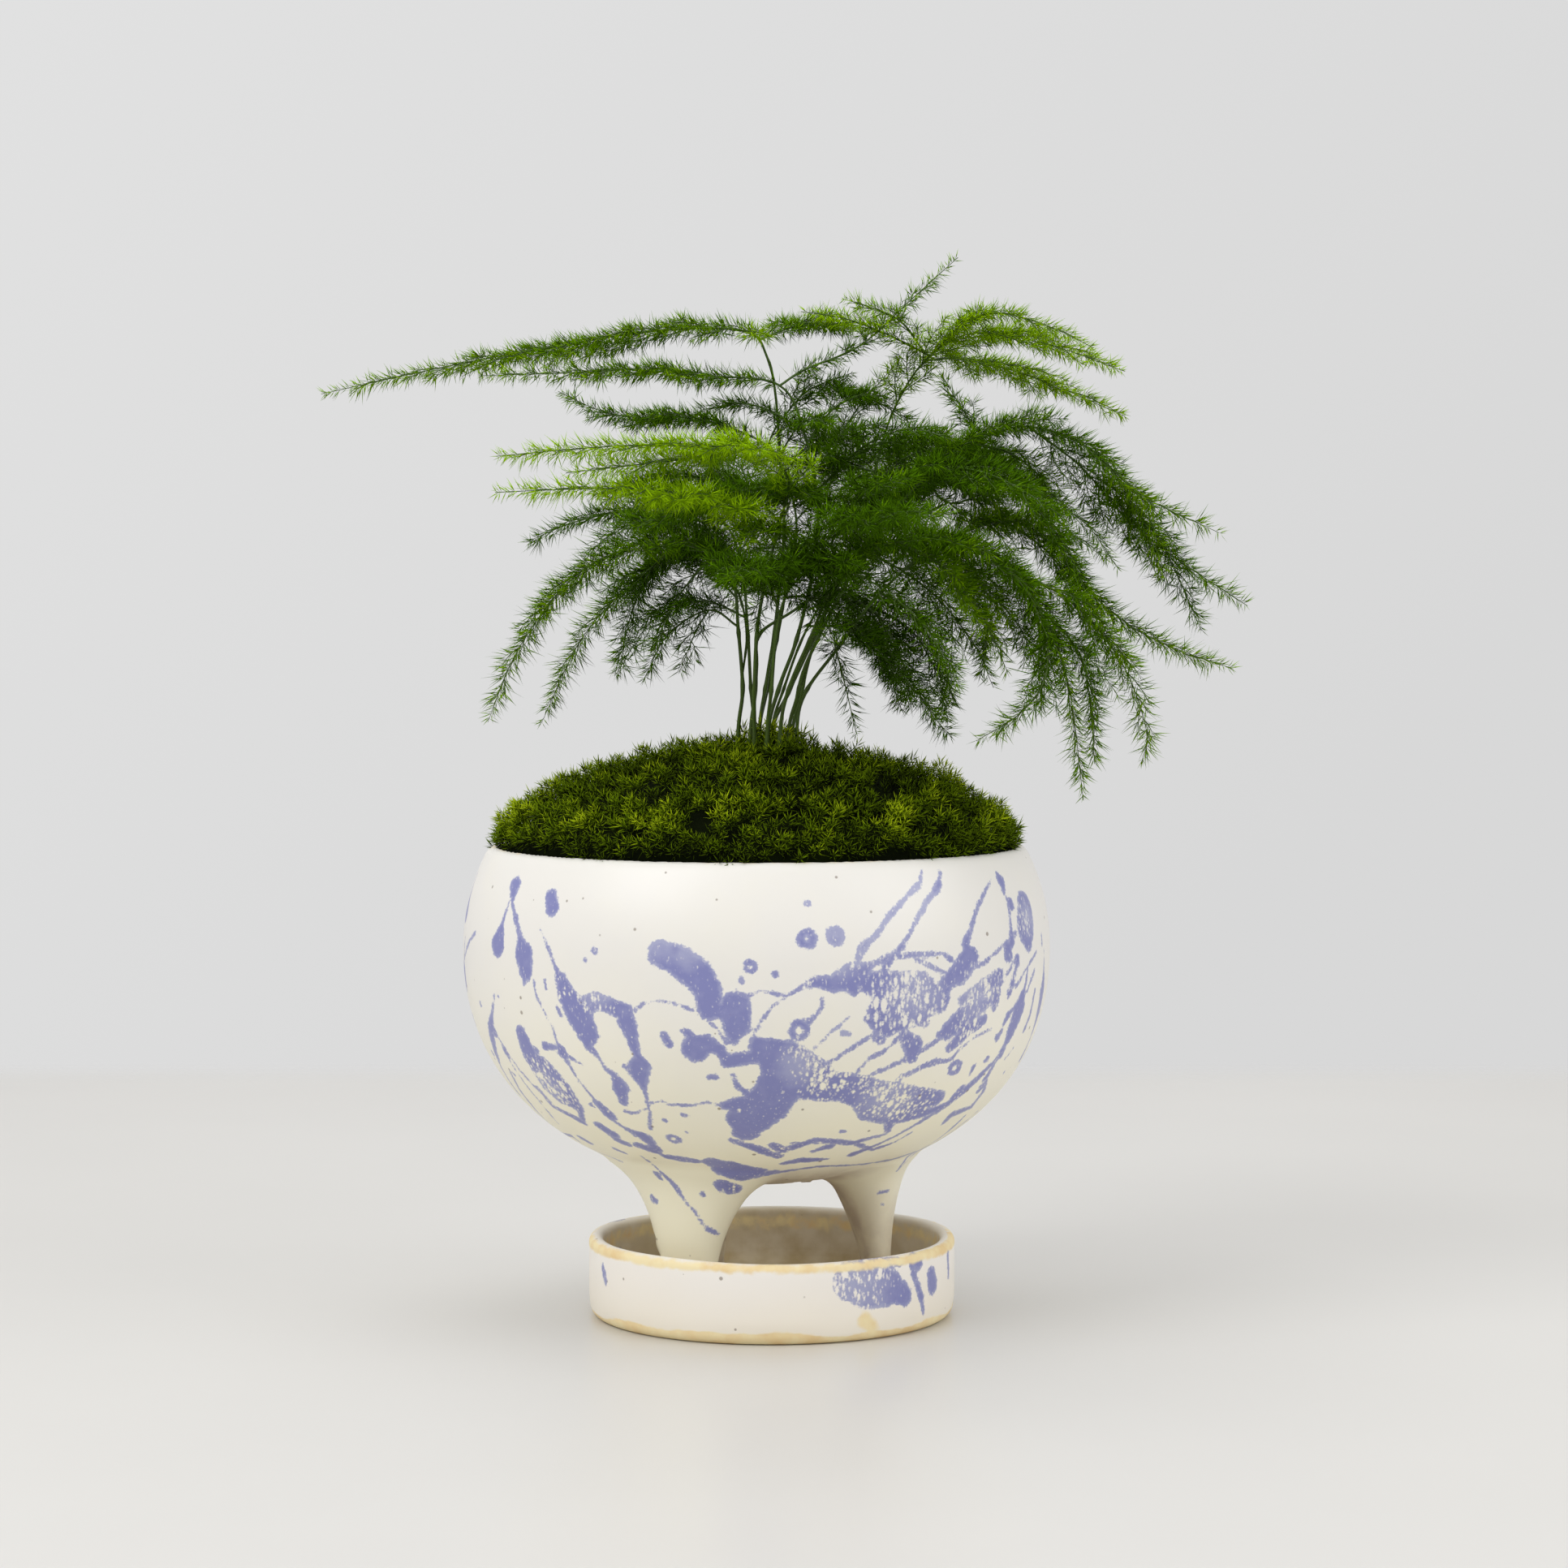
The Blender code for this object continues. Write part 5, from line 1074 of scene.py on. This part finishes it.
def make_pot():
    """The bowl on three flared legs: the clay form remeshed fine and laid on its own smooth skin."""
    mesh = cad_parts["pot"].data.copy()
    mesh.materials.clear()
    pot = bpy.data.objects.new("glazed_pot", mesh)
    bpy.context.scene.collection.objects.link(pot)
    select_only(pot)
    bpy.ops.object.mode_set(mode="EDIT")
    bpy.ops.mesh.select_all(action="SELECT")
    bpy.ops.mesh.remove_doubles(threshold=0.001 * MM)
    bpy.ops.object.mode_set(mode="OBJECT")
    pot.data.remesh_voxel_size = POT_VOXEL * MM
    pot.data.use_remesh_fix_poles = False
    bpy.ops.object.voxel_remesh()
    bpy.ops.object.mode_set(mode="EDIT")
    bpy.ops.mesh.select_all(action="SELECT")
    bpy.ops.mesh.vertices_smooth(factor=0.5, repeat=4)
    bpy.ops.object.mode_set(mode="OBJECT")
    axis = np.array([POT_X, 0, POT_FEET_Z])
    points = onto_pot(points_of(pot.data) - axis)
    put_points(pot.data, points + axis)

    # The wall under the soil is never seen, so it keeps few faces
    inside = bowl_distance(np.hypot(points[:, 0], points[:, 1]), points[:, 2], BOWL_WALL, BOWL_FLOOR)
    hidden = (np.abs(inside) < 0.9) & (points[:, 2] < 98) & (points[:, 2] > 33)
    bpy.ops.object.mode_set(mode="EDIT")
    choose_marked(pot, hidden)
    bpy.ops.mesh.decimate(ratio=0.06)
    bpy.ops.object.mode_set(mode="OBJECT")

    # Finer faces along the edges of the splashes
    draw = random.Random(SEED)
    runs = [lifted(run, 0) for run in SPLASHES]
    runs += [lifted(run, turn) for turn, run in back_splashes(draw)]
    rings = [(on_front(x, z, 0), outer, inner) for x, z, outer, inner in RINGS]
    points = points_of(pot.data) - axis
    bpy.ops.object.mode_set(mode="EDIT")
    choose_marked(pot, np.abs(splash_field(points, runs, rings) + 0.15) < EDGE_BAND)
    bpy.ops.mesh.subdivide(number_cuts=1)
    bpy.ops.object.mode_set(mode="OBJECT")
    points = onto_pot(points_of(pot.data) - axis, 2)
    put_points(pot.data, points + axis)
    pot.data.shade_smooth()

    store(pot.data, "splash", splash_field(points, runs, rings))
    froth = [(on_front(x, z, 0), radius, strength) for x, z, radius, strength in FROTH]
    for turn in BACK_FROTH_TURNS:
        for _ in range(3):
            x, z = draw.uniform(-30, 30), draw.uniform(46, 92)
            froth.append((on_front(x, z, turn), draw.uniform(5, 9), draw.uniform(0.5, 1.0)))
    store(pot.data, "froth", soft_spots(points, froth))
    thin = [(on_front(x, z, 0), radius, 0.8) for x, z, radius in THIN]
    store(pot.data, "thin", soft_spots(points, thin))
    x, y, z = points.T
    around = np.arctan2(y, x)
    lip = 0.5 * np.clip((z - 107.2) / 0.8, 0, 1) * (0.7 + 0.3 * np.sin(around * 4 + 1))
    feet = 1.2 * np.clip((1.3 - z) / 0.8, 0, 1)
    ridge = 0.5 * np.clip(1.3 - np.hypot(np.hypot(x, y) - RIDGE_RADIUS, z - 27) / 2, 0, 1)
    store(pot.data, "clay", np.maximum.reduce([lip, feet, ridge]))
    # Painted shade together with thin glaze: the wash goes on faces that look down or inwards low under the
    # bowl, and on the lower part of the right leg, away from the key light
    facing = np.empty(len(points) * 3, np.float32)
    pot.data.vertex_normals.foreach_get("vector", facing)
    facing = facing.reshape(-1, 3)
    inward = -(facing[:, 0] * x + facing[:, 1] * y) / np.maximum(np.hypot(x, y), 1)
    low = np.clip((38 - z) / 6, 0, 1)
    under = low * np.clip(np.maximum((-facing[:, 2] - 0.82) * 6, inward * 2), 0, 1)
    right_leg_shade = 0.55 * np.clip((30 - z) / 14, 0, 1) * (x > 0)
    store(pot.data, "thin_glaze_and_shade", np.maximum(under, right_leg_shade))
    # The lower colour is creamier than the body, and lighter: painted light that lifts the shade on the
    # bowl's lower half
    finish = glaze("tin_white_pot_glaze", "#e9e6e0", "#f5efd4", "#c2b4a3", 36, 96)
    settle(pot, finish, "pot_glaze", "pot")


def mound_height(radius):
    """Height of the mound's smooth top, in the pot's frame."""
    share = np.minimum(radius / MOUND_RADIUS, 1)
    drop = MOUND_ROUNDNESS * (1 - np.sqrt(1 - share ** 2)) + (1 - MOUND_ROUNDNESS) * share ** 1.5
    return MOUND_EDGE_Z + MOUND_HEIGHT * (1 - drop)


def moss_relief(x, y):
    """The mound's soft hummocks, and the raised collar round the stems."""
    hummocks = 2.2 * noise.noise(Vector((x, y, 0)) / 12)
    return hummocks + 2.6 * max(0.0, 1 - math.hypot(x + POT_X, y) / 15) ** 1.5


def make_moss(leaf):
    """A dark felt of old moss, painted nearly black as the shade in the gaps between the tufts, and over it
    thousands of leafy sprigs in tufts.
    """
    bpy.ops.object.select_all(action="DESELECT")
    bpy.ops.mesh.primitive_uv_sphere_add(segments=96, ring_count=40, radius=MM)
    bed = bpy.context.object
    bed.name = "moss_bed"
    points = points_of(bed.data)
    r = np.minimum(np.hypot(points[:, 0], points[:, 1]), 1.0)
    top = mound_height(r * MOUND_RADIUS)
    x, y = (points[:, :2] * (MOUND_RADIUS - 1.6)).T
    relief = np.array([moss_relief(a, b) for a, b in zip(x, y)]) * (1 - r ** 8)
    under = top - (MOSS_THICKNESS - 0.6) * np.sqrt(1 - r ** 6) - 0.4
    z = np.where(points[:, 2] >= 0, top + relief - 1.8 - 2.4 * r ** 8, under)
    put_points(bed.data, np.stack([x + POT_X, y, z + POT_FEET_Z], axis=1))
    bed.data.shade_smooth()
    # The felt is painted nearly black: painted shade for the gaps between the tufts, over the dark old moss
    store(bed.data, "tone", np.full(len(points), 0.05))
    settle(bed, moss_finish("old_moss_felt_and_shade", "#0b1003", "#1c2606", "#313e0c"), "moss", "moss")

    # A leafy sprig of moss, in a few variants that stand along +X
    draw = np.random.default_rng(SEED)
    green = moss_finish("cushion_moss_leaf", "#161d02", "#627b05", "#b4c81a")
    sprigs = []
    step = np.arange(MOSS_LEAVES)
    for _ in range(4):
        high = 0.2 + 3.0 * (step / MOSS_LEAVES) ** 0.8
        turn = step * 2.4 + draw.uniform(0, 6)
        open_by = np.radians(76 - 54 * step / MOSS_LEAVES) + draw.normal(0, 0.14, MOSS_LEAVES)
        ahead = np.stack([np.cos(open_by), np.sin(open_by) * np.cos(turn), np.sin(open_by) * np.sin(turn)],
                         axis=1)
        roots = np.stack([high - 0.4, 0.1 * high, 0.04 * high ** 2], axis=1)
        size = np.stack([draw.uniform(2.0, 3.0, MOSS_LEAVES), np.full(MOSS_LEAVES, 0.2),
                         np.full(MOSS_LEAVES, 0.12)], axis=1)
        turns = axes_to(ahead, draw) * size[:, None, :]
        shape = np.einsum("nij,kj->nki", turns, leaf[0]) + roots[:, None, :]
        tips = np.tile(leaf[0][:, 0], (MOSS_LEAVES, 1)) * 0.4 + (step / MOSS_LEAVES * 0.4)[:, None]
        faces = (leaf[1][None] + (step * len(leaf[0]))[:, None, None]).reshape(-1, 3)
        sprigs.append((shape.reshape(-1, 3), faces, tips.ravel()))

    # Tufts of sprigs that spread from a common middle, some proud of the mat and some sunk into it
    k = np.arange(MOSS_TUFTS)
    far = np.clip(MOUND_RADIUS * np.sqrt((k + 0.5) / MOSS_TUFTS) + draw.normal(0, 0.7, MOSS_TUFTS), 0,
                  MOUND_RADIUS - 1.6)
    turn = k * GOLDEN_TURN + draw.normal(0, 0.6, MOSS_TUFTS) / np.maximum(far, 4)
    middle = np.stack([far * np.cos(turn), far * np.sin(turn)], axis=1)
    proud = draw.uniform(-2.0, 1.6, MOSS_TUFTS)
    middle, proud = np.repeat(middle, TUFT_SPRIGS, axis=0), np.repeat(proud, TUFT_SPRIGS)
    many = len(middle)
    spread = TUFT_RADIUS * np.sqrt(draw.uniform(0, 1, many))
    turn = draw.uniform(0, math.tau, many)
    offset = np.stack([np.cos(turn), np.sin(turn)], axis=1) * spread[:, None]
    place = middle + offset
    reach = np.hypot(place[:, 0], place[:, 1])
    place *= np.minimum(1, (MOUND_RADIUS - 1.5) / np.maximum(reach, 1e-6))[:, None]

    # A close skirt of sprigs that lean out where the mound falls to the pot's rim
    turn = math.tau * (np.arange(RIM_SPRIGS) + draw.uniform(0, 1, RIM_SPRIGS)) / RIM_SPRIGS
    out = np.stack([np.cos(turn), np.sin(turn)], axis=1)
    place = np.vstack([place, out * (MOUND_RADIUS - draw.uniform(0.8, 3.4, RIM_SPRIGS))[:, None]])
    offset = np.vstack([offset, out * 2.4])
    sunk = np.concatenate([proud - 0.24 * spread ** 2, draw.uniform(-3.4, -1.2, RIM_SPRIGS)])
    inward = np.concatenate([np.full(many, 0.965), np.ones(RIM_SPRIGS)])
    many = len(place)
    reach = np.hypot(place[:, 0], place[:, 1])
    relief = np.array([moss_relief(x, y) for x, y in place]) + sunk
    collar = np.clip(1.25 - np.hypot(place[:, 0] + POT_X, place[:, 1]) / 12, 0, 1)
    slope = 1.1 * (reach / MOUND_RADIUS) ** 2.2 / np.maximum(reach, 1e-6)
    up = np.column_stack([place * slope[:, None] + offset * 0.36, np.ones(many)])
    frames = axes_to(up, draw)
    turns = frames * (draw.uniform(0.75, 1.2, many) * (1 + 0.45 * collar))[:, None, None]
    z = mound_height(inward * reach) + relief - 1.5
    places = np.column_stack([place[:, 0] + POT_X, place[:, 1], z + POT_FEET_Z])
    # Painted light and shade on the sprigs, on top of a random tone: tufts that stand proud are lighter and
    # sunk ones darker, as lit tops and shaded hollows, and the sprigs grow lighter towards the mound's edge
    tone_light_and_shade = 0.27 * np.clip(relief / 1.8, -1.2, 1.2) + draw.normal(0, 0.09, many)
    tone_light_and_shade += 0.24 * (reach / MOUND_RADIUS) ** 2 - 0.06
    for n, (shape, faces, tips) in enumerate(sprigs):
        mine = np.arange(many) % len(sprigs) == n
        tones = tips[None, :] + tone_light_and_shade[mine][:, None]
        tufts = copies(f"moss_tufts_{n + 1}", shape, faces, turns[mine], places[mine], tones)
        settle(tufts, green, "moss")


def smooth_line(points, step):
    """Points close together on a smooth curve through a route."""
    route = [Vector(p) for p in points]
    route = [2 * route[0] - route[1], *route, 2 * route[-1] - route[-2]]
    line = []
    for before, here, after, beyond in zip(route, route[1:], route[2:], route[3:]):
        count = max(2, round((after - here).length / step))
        for k in range(count):
            t = k / count
            line.append(0.5 * (2 * here + (after - before) * t
                               + (2 * before - 5 * here + 4 * after - beyond) * t * t
                               + (3 * here - before - 3 * after + beyond) * t ** 3))
    return np.array(line + [route[-2]])


def measured(line):
    """How far along a line each of its points lies."""
    return np.concatenate([[0], np.cumsum(np.linalg.norm(np.diff(line, axis=0), axis=1))])


def along(line, lengths):
    """Points at given lengths of a line, and the line's direction there."""
    at = measured(line)
    lengths = np.clip(lengths, 0, at[-1])
    here = np.stack([np.interp(lengths, at, line[:, k]) for k in range(3)], axis=1)
    ahead = np.stack([np.interp(lengths + 0.7, at, line[:, k]) for k in range(3)], axis=1)
    behind = np.stack([np.interp(lengths - 0.7, at, line[:, k]) for k in range(3)], axis=1)
    way = ahead - behind
    return here, way / np.maximum(np.linalg.norm(way, axis=1, keepdims=True), 1e-9)


def side_twig(root, ahead, aside, length):
    """A twig that leaves its axis at an angle, then bends forward and droops a little."""
    share = np.linspace(0, 1, max(3, round(length / 2.6)))[:, None]
    angle = TWIG_ANGLE * (1 - 0.6 * share)
    steps = ahead * np.cos(angle) + aside * np.sin(angle) + np.array([0, 0, -0.22]) * share
    return np.vstack([root, root + np.cumsum(steps, axis=0) * length / len(share)])


class Spray:
    """What grows on one stem: its tubes, and the needle clusters along them."""

    def __init__(self, draw):
        self.draw = draw
        self.tubes = []
        self.roots, self.ways, self.sizes, self.tones = [], [], [], []

    def tube(self, line, start, end, knots=0.0):
        """A tapering tube along a line, swollen at its knots."""
        at = measured(line)
        swell = 1 + knots * np.exp(-(at % KNOT_PITCH - KNOT_PITCH / 2) ** 2)
        self.tubes.append((line, (start + (end - start) * at / at[-1]) * swell))

    def clusters(self, line, first, tone, freshening):
        """Needle clusters along a line, shorter and fresher towards its tip, and shorter high up."""
        length = measured(line)[-1]
        count = max(2, round((length - first) / CLUSTER_PITCH))
        places = first + (length - first) * (np.arange(count) + self.draw.uniform(0.2, 0.8, count)) / count
        here, way = along(line, places)
        share = (places - first) / (length - first)
        self.roots.append(here)
        self.ways.append(way)
        self.sizes.append((1.1 - 0.5 * share ** 3) * np.interp(here[:, 2], (200, 225), (1, 0.78)))
        self.tones.append(tone + freshening * share ** 2)

    def twigs(self, line, first, half_width, tone, depth=0):
        """Twigs to both sides of a line in one plane, longest a third of the way out, none at its tip."""
        leafy = measured(line)[-1] - first
        pitch = TWIG_PITCH * (1 - 0.2 * depth)
        count = max(2, round(leafy / pitch))
        places = first + leafy * (np.arange(count) + 0.3) / count
        places += self.draw.uniform(-0.2, 0.2, count) * pitch
        roots, ways = along(line, places)
        side = self.draw.choice((-1, 1))
        for at, root, ahead in zip(places, roots, ways):
            side = -side
            share = (at - first) / leafy
            reach = half_width * TWIG_REACH * min(1, 0.4 + 2.4 * share) * max(0, 1 - share) ** 0.85
            reach *= self.draw.uniform(0.7, 1.15)
            if reach < 2.2:
                continue
            flat = np.cross(ahead, (0, 0, 1))
            flat = flat / np.linalg.norm(flat) if np.linalg.norm(flat) > 0.25 else np.array([0, 1, 0])
            aside = flat * side + np.cross(flat, ahead) * self.draw.uniform(-0.3, 0.3)
            aside /= np.linalg.norm(aside)
            twig = side_twig(root, ahead, aside, reach)
            self.tube(twig, TWIG_RADIUS * (1 - 0.3 * depth), TIP_RADIUS)
            self.clusters(twig, 1.0, tone + 0.25 * share ** 2 + self.draw.uniform(-0.07, 0.07), 0.2)
            if depth == 0 and reach > 6:
                self.twigs(twig, 1.5, reach * 0.24, tone, 1)


def make_tubes(name, tubes):
    """Round tapering stems and twigs, from one curve of straight-sided runs."""
    data = bpy.data.curves.new(name, "CURVE")
    data.dimensions = "3D"
    data.bevel_depth = MM
    data.bevel_resolution = 0
    data.use_fill_caps = True
    for line, radii in tubes:
        run = data.splines.new("POLY")
        run.points.add(len(line) - 1)
        run.points.foreach_set("co", np.column_stack([line * MM, np.ones(len(line))]).ravel())
        run.points.foreach_set("radius", radii)
    obj = bpy.data.objects.new(name, data)
    bpy.context.scene.collection.objects.link(obj)
    select_only(obj)
    bpy.ops.object.convert(target="MESH")
    mesh = bpy.context.object.data
    mesh.shade_smooth()
    store(mesh, "tone", np.zeros(len(mesh.vertices)))
    return bpy.context.object


def make_fern(needle):
    """Every stem with its shoots, flat sprays of twigs and clusters of fine needles."""
    finishes = (stem_finish(), needle_finish())
    for number, (node, shoots) in enumerate(STEMS.items()):
        draw = np.random.default_rng(SEED + number)
        spray = Spray(draw)
        grown = []
        for route, bare, half_width, fresh in shoots + FILLING.get(node, ()):
            route = [np.array(p, float) for p in route]
            start = AXIS_RADIUS
            if grown:
                joints = np.concatenate(grown)
                route.insert(0, joints[np.argmin(np.linalg.norm(joints - route[0], axis=1))])
                if np.linalg.norm(route[1] - route[0]) < 4:
                    route.pop(1)
            else:
                route.insert(0, np.array([route[0][0], route[0][1], STEM_FOOT_Z]))
                bare += route[1][2] - STEM_FOOT_Z
                start = STEM_RADIUS
            line = smooth_line(route, 1.6)
            grown.append(line)
            spray.tube(line, start, TIP_RADIUS, KNOT_SWELL)
            spray.clusters(line, max(bare - 2, 2.0), fresh, 0.35)
            spray.twigs(line, max(bare, 2.5), half_width, fresh)
        fields = (spray.roots, spray.ways, spray.sizes, spray.tones)
        roots, ways, sizes, tones = (np.repeat(np.concatenate(v), CLUSTER_NEEDLES, axis=0) for v in fields)
        many = len(roots)
        lean = np.radians(draw.normal(55, 14, many))[:, None]
        frames = axes_to(ways, draw)
        heading = ways * np.cos(lean) + frames[:, :, 1] * np.sin(lean)
        roots = roots + ways * draw.uniform(-0.7, 0.7, many)[:, None]
        size = np.stack([NEEDLE_LENGTH * sizes * draw.uniform(0.7, 1.15, many), np.full(many, NEEDLE_RADIUS),
                         np.full(many, NEEDLE_RADIUS)], axis=1)
        turns = axes_to(heading, draw) * size[:, None, :]
        tones = tones + draw.normal(0, 0.08, many)
        tones = tones[:, None] + 0.12 * needle[0][:, 0][None, :]
        needles = copies(f"{node}_needles", needle[0], needle[1], turns, roots, tones)
        tubes = make_tubes(f"{node}_tubes", spray.tubes)
        tubes.data.materials.append(finishes[0])
        needles.data.materials.append(finishes[0])
        needles.data.materials.append(finishes[1])
        needles.data.polygons.foreach_set("material_index", np.ones(len(needles.data.polygons), np.int32))
        select_only(tubes, needles)
        bpy.ops.object.join()
        piece = bpy.context.object
        piece.name = node.replace("stem", "frond")
        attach(piece, "root")
        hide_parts(node)


make_camera()
make_stage()
make_saucer()
make_pot()
shape = needle_shape()
make_moss(shape)
make_fern(shape)
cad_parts["soil"].data.materials.clear()
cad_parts["soil"].data.materials.append(soil_finish())
